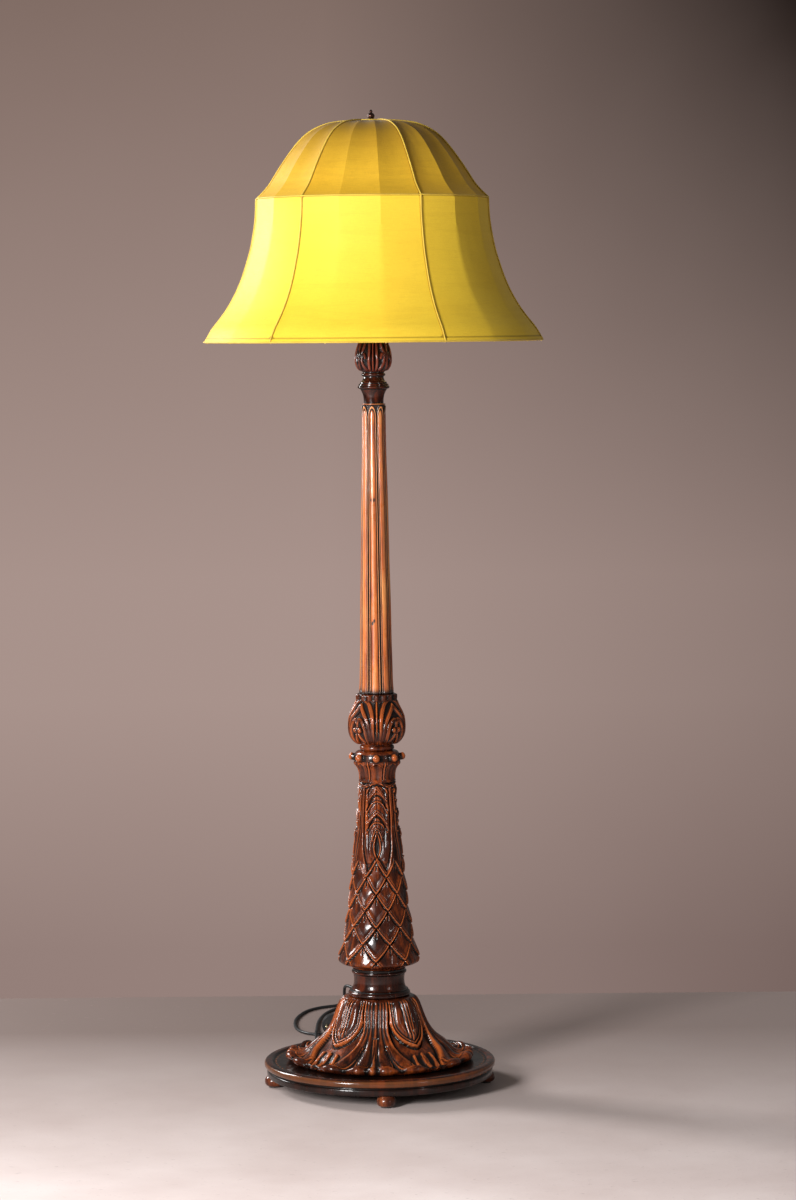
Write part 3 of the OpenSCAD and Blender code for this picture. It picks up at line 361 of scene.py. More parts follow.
# %% Route of the lead, in millimetres
LEAD_D = 5.6
EXIT_AT = np.array([math.cos(math.radians(124)) * 55, math.sin(math.radians(124)) * 55, 168.6])
EXIT_SLOPE = math.radians(12)
EXIT_DIR = np.array([math.cos(math.radians(124)) * math.cos(EXIT_SLOPE),
                     math.sin(math.radians(124)) * math.cos(EXIT_SLOPE), -math.sin(EXIT_SLOPE)])
RELIEF_END = EXIT_AT + 25 * EXIT_DIR
TO_COIL = [
    (-50, 75, 162), (-56, 85.5, 162.5), (-60.5, 95, 161), (-63, 102.5, 157), (-64, 107.5, 150),
    (-64, 110.5, 142), (-64, 113, 131), (-64, 117, 118), (-64.5, 122.5, 105), (-65.5, 130, 92),
    (-67, 141, 80), (-70, 156, 70), (-74, 174, 62), (-79, 192, 56), (-84, 209, 50), (-89, 226, 40),
    (-94, 241, 28), (-99, 257, 16), (-105, 277, 8), (-111, 302, 4), (-116, 332, 2.8),
    (-120, 366, 2.8), (-123, 402, 4.4), (-124, 440, 9.2), (-124, 478, 4.8), (-124, 520, 2.8),
    (-123, 558, 2.8), (-120, 596, 2.8), (-115, 632, 2.8), (-107, 664, 2.8), (-96, 692, 2.8),
    (-81, 714, 2.8), (-62, 729, 2.8), (-40, 738, 3.4), (-22, 740, 4.2)]
TO_PLUG = [
    (-43.5, 720, 10.3), (-47, 735, 10), (-56, 745, 8.6), (-70, 747, 5.8), (-83, 742, 3.8),
    (-95, 734, 2.8), (-108, 727, 2.8), (-125, 714, 2.8), (-142, 692, 2.8), (-155, 660, 2.8),
    (-165, 612, 2.8), (-168, 562, 2.8), (-164, 512, 2.8), (-155, 481, 2.8), (-142, 460, 2.8),
    (-130, 451, 2.8), (-115, 447, 2.8), (-98, 446, 2.8), (-80, 447, 2.8), (-64, 452, 2.8),
    (-52, 463, 2.8), (-46, 480, 2.8), (-45, 498, 2.8), (-46, 516, 2.8), (-51, 531, 3.6),
    (-61, 542, 6.5), (-74, 546, 11), (-86, 541, 16), (-93, 530, 19.4)]
PLUG_END = (-94, 517, 19)
COIL_MID = (-5, 702)
COIL_TURNS = 3.75
COIL_R, COIL_PITCH, COIL_LOW = 38.5, 6.1, 4.2


def coil_points(t):
    """Spiral in and out again: the radius falls by the pitch each turn to the middle of the coil
    and grows after it, and the lead climbs one layer in the half turn where it reverses."""
    middle = COIL_TURNS / 2
    a = np.radians(90 - 360 * t)
    r = COIL_R - COIL_PITCH * (middle - np.abs(t - middle))
    z = COIL_LOW + COIL_PITCH * np.clip((t - middle + 0.25) * 2, 0, 1)
    return np.stack([COIL_MID[0] + r * np.cos(a), COIL_MID[1] + r * np.sin(a), z], -1)


# %% Lead, tie and plug
coil = coil_points(np.linspace(0, COIL_TURNS, 241))
before_coil = catmull(np.vstack([RELIEF_END, TO_COIL, coil[0] - [6, 0, 0]]), 6)
after_coil = catmull(np.vstack([coil[-1] + [0, 6, 0], TO_PLUG, PLUG_END]), 6)
lead_path = np.vstack([before_coil, coil, after_coil])
lead_path[:, 2] = np.maximum(lead_path[:, 2], LEAD_D / 2)
lead = swept("lead", lead_path * MM, LEAD_D / 2 * MM, 14, lead_rubber, "stand",
             replace=("lead_to_coil", "lead_coil", "lead_to_plug"), first_side=(0, 0, 1))

for node, finish in (("plug_relief", plug_plastic), ("plug_body", plug_plastic), ("lead_gland", lead_rubber),
                     ("inner_lead", lead_rubber)):
    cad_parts[node].data.materials[0] = finish

tie_angle = math.radians(-40)
tie_out = np.array([math.cos(tie_angle), math.sin(tie_angle), 0.0])
TIE_IN, TIE_OUT, TIE_LOW, TIE_HIGH = 23.1, 42.4, 0.8, 14.0
tie_turn = np.radians(np.arange(48) * 7.5)
squircle = np.stack([np.sign(np.cos(tie_turn)) * np.abs(np.cos(tie_turn)) ** 0.5,
                     np.sign(np.sin(tie_turn)) * np.abs(np.sin(tie_turn)) ** 0.5], -1)
tie_mid = np.array([(TIE_IN + TIE_OUT) / 2, (TIE_LOW + TIE_HIGH) / 2])
tie_half = np.array([(TIE_OUT - TIE_IN) / 2, (TIE_HIGH - TIE_LOW) / 2])
tie_ring = tie_mid + tie_half * squircle
tie_path = np.array([*COIL_MID, 0.0]) + tie_ring[:, :1] * tie_out + np.array([0, 0, 1.0]) * tie_ring[:, 1:]


def strap_weave():
    """Black hook-and-loop strap: a dull, slightly mottled pile."""
    n = Nodes("strap_weave")
    where = n.coordinates()
    pile = n.noise(where, 1800.0, 2.0)
    tint = n.mix(n.span(pile, 0.3, 0.7, 0, 1), (0.012, 0.012, 0.014), (0.05, 0.05, 0.055))
    return n.finish(Base_Color=tint, Roughness=0.9, Normal=n.bump(pile, 0.6, 0.0006))


tie_side = tuple(np.cross(tie_out, [0, 0, 1.0]))
tie_strap = swept("coil_strap", tie_path * MM, 0.5 * MM, 12, strap_weave(), "stand",
                  replace=("coil_tie",), closed=True, first_side=tie_side, flat=8.0)

# %% [markdown]
# ## Floor, backdrop and light
# The photograph was taken in a studio: a big lamp stands to the left and a little behind, which
# whitens the left of the shade and throws a long soft shadow to the right and towards us. A
# stronger and softer lamp fills the front from the left, and a weak one from the right. The floor
# is pale concrete. The wall is only seen by the camera, so that the picture's background never
# lights the lamp.

# %% Floor
def stage_plane(name, corners, material):
    mesh = bpy.data.meshes.new(name)
    mesh.from_pydata(corners, [], [(0, 1, 2, 3)])
    mesh.materials.append(material)
    plane = bpy.data.objects.new(name, mesh)
    bpy.context.scene.collection.objects.link(plane)
    return plane


def pale_concrete():
    n = Nodes("pale_concrete")
    where = n.coordinates()
    cloud = n.noise(where, 2.2, 6.0, 0.6)
    speck = n.noise(where, 70.0, 6.0, 0.65)
    parts = n.add("ShaderNodeSeparateXYZ")
    n.link(n.coordinates(), parts.inputs["Vector"])
    # Painted light and shade: the floor grows darker towards the back, most on the left, and darker towards
    # the right in front.
    far = n.span(parts.outputs["Y"], -0.9, 0.5, 0.0, 1.0)
    aside = n.span(parts.outputs["X"], 0.0, 1.3, 0.0, 1.0)
    near = n.ramp(cloud, [(0.35, srgb(228, 210, 205)), (0.65, srgb(248, 233, 229))])
    tint = n.mix(far, near, n.mix(aside, srgb(128, 111, 105), srgb(150, 134, 128)))
    tint = n.mix(n.math("MULTIPLY", aside, 0.4), tint, srgb(150, 134, 131))
    tint = n.mix(n.span(speck, 0.6, 0.74, 0.0, 0.4), tint, srgb(158, 138, 134))
    return n.finish(Base_Color=tint, Roughness=0.75, Normal=n.bump(speck, 0.15, 0.002))


STAGE = 14.0
stage_plane("floor", [(-STAGE, -STAGE, 0), (STAGE, -STAGE, 0), (STAGE, STAGE, 0), (-STAGE, STAGE, 0)],
            pale_concrete())
print("floor ready")

# %% Wall that only the camera sees
WALL_Y, WALL_LOW, WALL_TOP = 0.86, -0.01, 9.0


def studio_wall():
    """Grey-brown wall with painted shade: darker towards the top, towards the right and near the bottom,
    near black in the top right corner, with faint paler clouds; drawn as a flat glow from the front only.
    """
    n = Nodes("studio_wall")
    place = n.add("ShaderNodeTexCoord")
    parts = n.add("ShaderNodeSeparateXYZ")
    n.link(place.outputs["Object"], parts.inputs["Vector"])
    aside = n.span(parts.outputs["X"], -0.1, 0.85, 0.0, 1.0)
    high = n.span(parts.outputs["Z"], 0.85, 2.0, 0.0, 1.0)
    low = n.span(parts.outputs["Z"], 0.1, 0.6, 1.0, 0.0)
    tint = n.mix(high, srgb(168, 146, 139), srgb(128, 108, 100))
    tint = n.mix(n.math("MULTIPLY", aside, 0.75), tint, srgb(128, 110, 104))
    tint = n.mix(n.math("MULTIPLY", aside, high), tint, srgb(30, 22, 19))
    tint = n.mix(low, tint, n.mix(aside, srgb(148, 127, 121), srgb(120, 101, 96)))
    cloud = n.noise(place.outputs["Object"], 1.4, 3.0)
    tint = n.mix(n.span(cloud, 0.3, 0.7, 0.0, 0.06), tint, srgb(176, 158, 150))
    glow = n.add("ShaderNodeEmission")
    n.link(tint, glow.inputs["Color"])
    clear = n.add("ShaderNodeBsdfTransparent")
    side = n.add("ShaderNodeNewGeometry")
    pick = n.add("ShaderNodeMixShader")
    n.link(side.outputs["Backfacing"], pick.inputs[0])
    n.link(glow.outputs[0], pick.inputs[1])
    n.link(clear.outputs[0], pick.inputs[2])
    n.link(pick.outputs[0], n.tree.nodes["Material Output"].inputs["Surface"])
    return n.material


wall = stage_plane("wall", [(x, WALL_Y, z) for x, z in ((-STAGE, WALL_LOW), (STAGE, WALL_LOW),
                                                        (STAGE, WALL_TOP), (-STAGE, WALL_TOP))],
                   studio_wall())
for kind in ("visible_diffuse", "visible_glossy", "visible_transmission", "visible_shadow"):
    setattr(wall, kind, False)

# %% World and lamps
world = bpy.data.worlds.new("studio")
bpy.context.scene.world = world
world.use_nodes = True
tree = world.node_tree
around = tree.nodes["Background"]
around.inputs["Color"].default_value = (*srgb(226, 220, 216), 1)
around.inputs["Strength"].default_value = 0.19
seen = tree.nodes.new("ShaderNodeBackground")
seen.inputs["Color"].default_value = (*srgb(142, 125, 119), 1)
rays = tree.nodes.new("ShaderNodeLightPath")
choose = tree.nodes.new("ShaderNodeMixShader")
tree.links.new(rays.outputs["Is Camera Ray"], choose.inputs[0])
tree.links.new(around.outputs[0], choose.inputs[1])
tree.links.new(seen.outputs[0], choose.inputs[2])
tree.links.new(choose.outputs[0], tree.nodes["World Output"].inputs["Surface"])


def soft_lamp(name, at, target, size, watts):
    """Rectangular area lamp at a place, turned to a target."""
    lamp = bpy.data.objects.new(name, bpy.data.lights.new(name, "AREA"))
    lamp.data.shape = "RECTANGLE"
    lamp.data.size, lamp.data.size_y = size
    lamp.data.energy = watts
    bpy.context.scene.collection.objects.link(lamp)
    back = np.array(at, float) - np.array(target, float)
    back /= np.linalg.norm(back)
    right = np.cross([0, 0, 1.0], back)
    right /= np.linalg.norm(right)
    up = np.cross(back, right)
    lamp.matrix_world = Matrix([[right[i], up[i], back[i], at[i]] for i in range(3)] + [[0, 0, 0, 1]])
    return lamp


soft_lamp("key", (-2.6, 1.6, 2.0), (0, 0, 0.9), (0.8, 1.4), 105)
soft_lamp("front_left", (-2.4, -3.5, 1.75), (0, 0, 0.9), (0.9, 1.5), 250)
soft_lamp("front_right", (2.9, -2.9, 1.6), (0, 0, 0.9), (0.12, 1.0), 12)
scene = bpy.context.scene
scene.view_settings.view_transform = "Standard"

# %% [markdown]
# ## Polished, carved wood
# The wood is stained a red brown and polished by hand. Its raised edges are made lighter, for polish
# rubbed off them and as a painted highlight, and its hollows nearly black, for old wax and dirt and
# as painted shade. A picture of wood could not follow the carving. Instead each carved piece carries
# two marks on its points, worked out from its own relief: how far a point lies below its
# surroundings, and how far above.

# %% Marks of hollows and edges
def blurred(field, rows, columns):
    """Relief averaged over its surroundings with a bell curve, wrapped round the axis and
    mirrored at the ends: both directions are multiplied as frequencies."""
    padded = np.vstack([field[::-1], field, field[::-1]])
    f = np.fft.rfft2(padded)
    fr = np.fft.fftfreq(padded.shape[0])[:, None]
    fc = np.fft.rfftfreq(padded.shape[1])[None, :]
    f *= np.exp(-2 * np.pi ** 2 * ((fr * rows) ** 2 + (fc * columns) ** 2))
    return np.fft.irfft2(f, padded.shape)[len(field):2 * len(field)]


def shade_and_wear_marks(relief, row_mm, column_mm, reach=3.0, depth=1.1):
    """Hollow: how far the relief lies under its average, in shares of depth; it darkens as dirt and
    painted shade. Edge: how far above; it lightens as wear and painted highlight.
    """
    low = blurred(relief, reach / row_mm, reach / column_mm) - relief
    wide = blurred(relief, 3 * reach / row_mm, 3 * reach / column_mm) - relief
    hollow = np.clip(low / depth, 0, 1) * 0.75 + np.clip(wide / (2.5 * depth), 0, 1) * 0.6
    edge = np.clip(-low / depth, 0, 1)
    return {"hollow": np.clip(hollow, 0, 1), "edge": edge}


def polished_wood(name, light, middle, dark, wear_and_highlight, roughness=0.26, coat=0.45, grain=1.0, shine=0.15):
    """Long grain in three tones, darkened nearly to black by the hollow mark, as dirt and painted
    shade, and made pale by the edge mark, as wear and painted highlight.
    """
    n = Nodes(name)
    figure = n.noise(n.coordinates((1, 1, 0.09)), 95.0 * grain, 5.0, 0.6, 0.4)
    fibre = n.noise(n.coordinates((1, 1, 0.03)), 900.0, 3.0, 0.6)
    patch = n.noise(n.coordinates((1, 1, 0.6)), 16.0, 3.0, 0.5)
    tone = n.math("ADD", n.math("MULTIPLY", figure, 0.55), n.math("MULTIPLY", patch, 0.45))
    tint = n.ramp(tone, [(0.36, dark), (0.5, middle), (0.66, light)])
    tint = n.mix(n.span(fibre, 0.35, 0.65, 0.0, 0.35), tint, dark)
    # Edge mark: wear and painted highlight. Hollow mark: dirt and painted shade, nearly black.
    edge = n.attribute("edge")
    hollow = n.attribute("hollow")
    tint = n.mix(n.span(edge, 0.3, 1.0, 0.0, 0.6), tint, wear_and_highlight)
    tint = n.mix(n.span(hollow, 0.0, 0.42, 0.0, 0.98), tint, (0.004, 0.002, 0.0015))
    smear = n.noise(n.coordinates(), 60.0, 4.0)
    rough = n.span(smear, 0.3, 0.7, roughness - 0.06, roughness + 0.1)
    rough = n.math("ADD", rough, n.math("MULTIPLY", hollow, 0.3))
    uneven = n.noise(n.coordinates((1, 1, 0.5)), 130.0, 3.0)
    normal = n.bump(uneven, 0.35, 0.0012, n.bump(fibre, 0.15, 0.0003))
    return n.finish(Base_Color=tint, Roughness=rough, Normal=normal, Coat_Weight=coat,
                    Coat_Roughness=0.09, Coat_IOR=1.5, Specular_IOR_Level=shine)


carved_wood = polished_wood("carved_wood", srgb(158, 72, 24), srgb(74, 29, 12), srgb(18, 7, 4),
                            srgb(196, 102, 48))
tulip_wood = polished_wood("tulip_wood", srgb(120, 48, 30), srgb(58, 22, 16), srgb(22, 8, 7),
                           srgb(170, 84, 56))
turned_wood = polished_wood("turned_wood", srgb(96, 38, 16), srgb(44, 17, 9), srgb(18, 7, 5),
                            srgb(206, 128, 76), roughness=0.2)
shaft_wood = polished_wood("shaft_wood", srgb(240, 164, 90), srgb(208, 112, 50), srgb(118, 44, 22),
                           srgb(250, 190, 124), roughness=0.3, coat=0.9, grain=0.7, shine=0.5)
foot_wood = polished_wood("foot_wood", srgb(150, 78, 40), srgb(84, 38, 20), srgb(38, 15, 10),
                          srgb(200, 122, 70))

# %% [markdown]
# ## Turning and carving
# Each wooden piece starts as an outline of radii and heights. The outline is read at even steps,
# so that the grid is as fine on a flat roll as on a steep wall, and the relief then moves each
# point square to it. Repeated leaves are folded onto one: an angle is only measured from the
# nearest repeat, so one drawn leaf is carved all the way round.

# %% Outline and carving helpers
def evenly(outline, rows, steps=8):
    """Rows points at even distances along an outline. A point given twice is a corner: between
    corners the curve is smooth, and two corners on their own are joined by a straight line."""
    p = np.asarray(outline, float)
    corners = np.flatnonzero(np.hypot(*np.diff(p, axis=0).T) < 1e-9) + 1
    curve = np.vstack([catmull(run, steps) if len(run) > 2 else run for run in np.split(p, corners)])
    far = run_of(curve)
    keep = np.r_[True, np.diff(far) > 1e-9]
    s = np.linspace(0, far[-1], rows)
    return np.stack([np.interp(s, far[keep], curve[keep, 0]), np.interp(s, far[keep], curve[keep, 1])], -1)


def capped(outline, rows, low, high):
    """A closed outline read at even steps, with one row on each flat end, at radius low and high."""
    bottom, top = outline[0][1], outline[-1][1]
    return np.vstack([[(0, bottom), (low, bottom)], evenly(outline[1:-1], rows), [(high, top), (0.5, top)]])


def radius_at(line):
    """A function that gives the outline's radius at a height."""
    order = np.argsort(line[:, 1], kind="stable")
    return lambda z: np.interp(z, line[order, 1], line[order, 0])


def carved(line, relief):
    """Radius and height of each grid point: the outline point plus the relief times the outline's
    outward normal (dz, -dr)."""
    step = np.gradient(line, axis=0)
    normal = np.stack([step[:, 1], -step[:, 0]], -1)
    normal /= np.linalg.norm(normal, axis=1)[:, None] + 1e-12
    return (np.maximum(line[:, :1] + relief * normal[:, :1], 0.0), line[:, 1:] + relief * normal[:, 1:])


def plainly_turned(name, line, columns, hollow, node):
    """A piece without carving, with painted shade in its creases given as the hollow mark for each row."""
    radius, height, shadow = (np.broadcast_to(part, (len(line), columns))
                              for part in (line[:, :1], line[:, 1:], np.clip(hollow, 0, 1)))
    turned(name, radius, height, np.arange(columns) * 360 / columns, turned_wood,
           replace=(node,), marks={"hollow": shadow, "edge": 0 * shadow})


def nearest(angle, count, turn):
    """Angle from the nearest of count places spread evenly from turn, in degrees."""
    step = 360 / count
    return (angle - turn + step / 2) % step - step / 2


def distance_to(line, x, y):
    """Shortest distance from each grid point to a broken line of (x, y) points."""
    best = np.full(np.broadcast(x, y).shape, 1e9)
    for (x0, y0), (x1, y1) in zip(line[:-1], line[1:]):
        dx, dy = x1 - x0, y1 - y0
        t = np.clip(((x - x0) * dx + (y - y0) * dy) / (dx * dx + dy * dy + 1e-9), 0, 1)
        best = np.minimum(best, np.hypot(x - x0 - t * dx, y - y0 - t * dy))
    return best


def unrolled(points, radius):
    """Drawn (degrees, height) points as millimetres round the piece and up it, after smoothing.
    radius is a function that gives the piece's radius at a height."""
    p = catmull(points, 4)
    return np.stack([np.radians(p[:, 0]) * radius(p[:, 1]), p[:, 1]], -1)


def wooden(name, line, relief, columns, material, node, reach, depth):
    """Carves a turned outline and hands it over with its marks: painted shade and dirt in the
    hollows, painted highlight and wear on the crests.
    """
    relief = np.broadcast_to(relief, (len(line), columns))
    radius, height = carved(line, relief)
    row_mm = float(np.hypot(*np.diff(line, axis=0).T).mean())
    column_mm = float(line[:, 0].max() * 2 * np.pi / columns * 0.8)
    marks = shade_and_wear_marks(relief, row_mm, column_mm, reach, depth)
    turned(name, radius, height, np.arange(columns) * 360 / columns, material,
           replace=(node,), marks=marks)


# %% [markdown]
# ## Base disc and feet
# The disc is plain turning: a lower band, a cove with painted shade in it, a fat roll and a flat
# top that is sunk three millimetres, with a ring of short gouge cuts just inside the rim.
# Underneath is the counterbore with the washer and nut of the tie pipe.

# %% Base disc
DISC_Z, DISC_R = 21.0, 206.0
ROLL_R, ROLL_Z = 7.0, 42.0
RIM_INSIDE_R, COVE_Z = 190.0, 34.0
GOUGE_R, GOUGE_HALF, GOUGE_COUNT, GOUGE_DEPTH = 186.6, 3.0, 80, 0.7
DISC_COLUMNS = 480
roll = np.radians(np.arange(-75, 91, 11))
disc_outline = [(0, 33), (31, 33), (31, 33), (31, 21), (31, 21), (199, 21), (199, 21), (200.8, 21.8),
                (201.4, 24), (201.4, 29.6), (200.6, 31.8), (199, 33.4), (198.6, 34.6), (198.6, 34.6)]
disc_outline += [(DISC_R - ROLL_R + ROLL_R * math.cos(a), ROLL_Z + ROLL_R * math.sin(a)) for a in roll]
disc_outline += [(193.5, 49), (193.5, 49), (192.2, 48.6), (190.6, 46.6), (189, 46), (180, 46),
                 (150, 46), (0, 46)]
disc_line = evenly(disc_outline, 420, 4)
disc_angles = np.arange(DISC_COLUMNS) * 360 / DISC_COLUMNS
cut = (np.cos(np.radians(disc_angles * GOUGE_COUNT)) > -0.35)[None, :]
far_out, up = disc_line[:, :1], disc_line[:, 1:]
on_top = (up > 45.5) & (far_out < RIM_INSIDE_R)
gouge = bead(far_out - GOUGE_R, GOUGE_HALF) * on_top * cut
wavy = 0.12 * np.sin(np.radians(disc_angles * 3)) + 0.08 * np.sin(np.radians(disc_angles * 7 + 40))
disc_relief = -GOUGE_DEPTH * gouge + wavy * smooth(60, RIM_INSIDE_R, far_out)
disc_marks = shade_and_wear_marks(disc_relief, 1.2, 2.2)
# Edge mark: the gouge cuts are lighter where bare wood shows, and a painted highlight runs along the crest of
# the roll.
disc_marks["edge"] = np.clip(gouge * 1.4 + bead(far_out - 205, 4) * 0.5, 0, 1)
# Hollow mark: painted shade in the cove and in the corner inside the rim; the flat top and the band below the
# cove are darkened too.
cove = bead(up - COVE_Z, 2.2) * (far_out > RIM_INSIDE_R)
corner = bead(far_out - RIM_INSIDE_R, 4) * on_top
darker_top = on_top * (gouge < 0.1)
below_cove = up < COVE_Z - 1
disc_marks["hollow"] = np.clip(disc_marks["hollow"] * 0.3 + cove + corner * 0.8 + 0.35 * darker_top
                               + 0.3 * below_cove, 0, 1)
radius, height = carved(disc_line, disc_relief)
turned("base_disc_turned", radius, height, disc_angles, turned_wood,
       replace=("base_disc",), marks=disc_marks)

# %% Bun feet and felt
FOOT_TURN, FOOT_AT, PAD_T = 3.5, 189.0, 1.5
foot_h = DISC_Z - PAD_T
foot_line = evenly([(0, 0), (9.5, 0), (9.5, 0), (11.2, 0.6), (14.6, 2.6), (16.2, 5.4), (17, 8.8), (16.6, 12),
                    (15, 15.4), (12.6, 18.4), (11.8, foot_h), (11.8, foot_h), (0, foot_h)], 60)
FOOT_COLUMNS = 72
foot_radius = np.broadcast_to(foot_line[:, :1], (len(foot_line), FOOT_COLUMNS))
foot_height = np.broadcast_to(foot_line[:, 1:] + PAD_T, foot_radius.shape)
for k in range(4):
    turned(f"bun_foot_{k + 1}", foot_radius, foot_height, np.arange(FOOT_COLUMNS) * 360 / FOOT_COLUMNS,
           foot_wood, replace=("bun_feet",), round_edges=50,
           at=front_direction(FOOT_TURN + 90 * k) * FOOT_AT)


def felt():
    n = Nodes("felt")
    pile = n.noise(n.coordinates(), 1500.0, 3.0)
    return n.finish(Base_Color=n.ramp(pile, [(0.3, (0.02, 0.02, 0.02)), (0.7, (0.07, 0.065, 0.06))]),
                    Roughness=0.95, Normal=n.bump(pile, 0.7, 0.0008))


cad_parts["felt_pads"].data.materials[0] = felt()
print("feet at", FOOT_AT, "mm")

# %% [markdown]
# ## The leaf bell
# Four spreading leaves stand round the bell, with their ribs close together at the top and fanned
# out at the bottom. Between them hang four tongues, each with a doubled border bound by small
# cross cuts, and below each tongue two pairs of curls stand over the turned-out rim. The leaf, the
# tongue and the curls are drawn once, in degrees from the middle of a leaf and in height.

# %% Outline of the bell
BELL_TURN = -4.5
RIM_Z, RIM_SLOPE = 70.0, 0.62
bell_outline = [(0, 46), (136, 46), (136, 46), (146, 46.6), (154, 48), (160, 51), (163, 55),
                (162.6, 58.8), (159, 60.6), (154, 58.8), (148, 57), (141, 58.6), (134, 63.4), (127, 70),
                (120, 76.4), (111, 83.5), (102.8, 90.5), (95.6, 99), (89.8, 108), (85.4, 116.5),
                (81.6, 126), (78.4, 135), (75.2, 143.5), (72.4, 150.5), (69, 156.4), (64.5, 160.4),
                (60, 162.2), (56, 163), (50, 163.4), (50, 163.4), (0, 163.4)]
under = evenly([(0, 46), (136, 46)], 6)
bell_line = np.vstack([under[:-1], evenly(bell_outline[2:-2], 236), [(30, 163.4), (0.5, 163.4)]])
BELL_COLUMNS = 416
bell_angles = np.arange(BELL_COLUMNS) * 360 / BELL_COLUMNS
bell_far = run_of(bell_line)
flat_row = int(np.argmax(bell_line[:, 1] > RIM_Z))
bell_up = bell_line[:, 1].copy()
bell_up[:flat_row] = bell_up[flat_row] - RIM_SLOPE * (bell_far[flat_row] - bell_far[:flat_row])
print("bell rows", len(bell_line), "from", round(float(bell_up[0]), 1), "to", bell_up[-1])


def on_bell(points):
    """Drawn (degrees, height) points as millimetres round the bell and up along its outline."""
    p = catmull(points, 4)
    radius = np.interp(p[:, 1], bell_up, bell_line[:, 0])
    return np.stack([np.radians(p[:, 0]) * radius, np.interp(p[:, 1], bell_up, bell_far)], -1)


# %% Leaf, tongue and curls
def leaf_side(z):
    """Half width of a spreading leaf, in degrees, at a height."""
    return np.interp(z, [40, 52, 58, 64, 70, 78, 88, 98, 112, 125, 140, 158],
                     [38, 37, 35, 32, 28.5, 24.5, 20.8, 18.2, 15.8, 16, 17, 17.5])


LOBES = [[(0.09, 100), (0.08, 76), (0.12, 60), (0.24, 52), (0.37, 55), (0.45, 66), (0.46, 84)],
         [(0.54, 88), (0.53, 72), (0.58, 58), (0.7, 51), (0.84, 54), (0.93, 64)]]
TONGUE = [(17.6, 172), (17.6, 158), (18.2, 145), (18.6, 132), (19.6, 121), (22, 112), (26.4, 103),
          (32, 95.5), (38.5, 90), (45, 86.5), (51.5, 90), (58, 95.5)]
CURLS = [[(45, 78), (44, 66), (47, 55)], [(36, 76), (36, 64), (41, 54)]]


def bell_relief(angle, z, radius, far):
    """Height of the carving in millimetres. A leaf has ribs at fixed shares of its width, which
    part into two outlined lobes where it spreads. A tongue has a doubled border along its U and
    flutes in its middle. Under a tongue hang curled lobes. Grooves part the three."""
    a = np.abs(nearest(angle, 4, BELL_TURN))[None, :]
    z, far = z[:, None], far[:, None]
    mm = np.radians(1.0) * radius[:, None]
    u = a * mm
    side = leaf_side(z)
    share = a / side
    outside = (a - side) * mm
    spread = smooth(112, 72, z)
    # leaf
    leaf = 3.0 + 1.4 * spread + 2.6 * bead(share, 0.17 - 0.08 * spread)
    for place, tall, fade in ((0.36, 2.0, 0.9), (0.62, 2.1, 0.9), (0.88, 2.4, 0.2)):
        leaf = leaf + tall * (1 - fade * spread) * bead(share - place, 0.13)
    leaf = leaf + 3.4 * spread * np.sin(np.clip(share, 0, 1) * np.pi * 2.0) ** 2 - 1.6 * spread
    leaf = leaf - 2.4 * spread * bead(share - 0.5, 0.07) - 1.6 * spread * bead(share - 0.1, 0.035)
    for lobe in LOBES:
        edge = distance_to(on_bell([(x * leaf_side(y), y) for x, y in lobe]), u, far)
        leaf = leaf + 1.5 * bead(edge, 1.5) - 1.5 * bead(edge - 2.6, 1.5)
    # tongue
    off = distance_to(on_bell(TONGUE), u, far)
    border_z = np.interp(a, [17.6, 19, 22, 26.4, 32, 38.5, 45], [128, 121, 112, 103, 95.5, 90, 86.5])
    in_tongue = (a > 17.6) & (z > border_z)
    depth_in = np.where(in_tongue, off, -off)
    outer = 3.0 * bead(depth_in - 2.6, 2.6) - 1.9 * bead(depth_in - 5.6, 1.5)
    second = 1.5 * bead(depth_in - 7.8, 1.6) - 1.3 * bead(depth_in - 9.8, 1.1)
    from_middle = (45 - a) * mm
    swell = 4.2 * np.sin(np.clip((depth_in - 9) / 12, 0, 1) * np.pi * 0.62) * smooth(9, 14, depth_in)
    flutes = (2.0 * bead(from_middle, 1.9) + 1.7 * bead(from_middle - 6.0, 1.9)
              - 2.2 * bead(from_middle - 3.0, 1.3) - 2.6 * bead(from_middle - 9.3, 1.6))
    bound = np.zeros_like(off)
    for at_a, at_z in ((19.0, 122.0), (20.4, 117.0), (35.5, 92.6), (39.0, 90.2)):
        near = np.hypot((a - at_a) * mm * 0.25, z - at_z)
        bound += -1.6 * bead(near, 1.5) * (depth_in < 6.5)
    tongue = 1.0 + outer + second + (swell + flutes * smooth(8, 13, depth_in)) + bound
    # curls under a tongue
    fan = np.full_like(off, -3.2)
    for curl in CURLS:
        line = distance_to(on_bell(curl), u, far)
        mirrored = distance_to(on_bell([(90 - x, y) for x, y in curl]), u, far)
        line = np.minimum(line, mirrored)
        fan = np.maximum(fan, -3.2 + 4.6 * ridge(line, 3.6))
        fan = fan - 1.1 * bead(line, 0.9)
    out = np.where(a < side, leaf, np.where(in_tongue, tongue, fan))
    # grooves between them
    out = out - 5.6 * bead(outside - 0.8, 2.4) * smooth(46, 60, z)
    out = out - 5.0 * bead(np.minimum(depth_in, 0), 3.4) * (~in_tongue) * (a > side) * smooth(80, 84, z)
    # the rim: lobe tips turn out and up, with notches between
    rim = smooth(66, 52, z) * smooth(30, 44, z)
    wave = np.where(a < side, 2 * np.sin(np.clip(share, 0, 1) * 2 * np.pi) ** 2 - 1 + 1.5 * bead(share, 0.1),
                    np.cos((45 - a) / np.maximum(45 - side, 4.0) * np.pi * 2.2))
    tip_up = 2.4 * bead(a, 24) * smooth(66, 54, z)
    out = out + rim * (0.6 + 2.2 * wave) + tip_up
    return (out - 5.6) * smooth(34, 44, z) * smooth(163, 158.5, z)


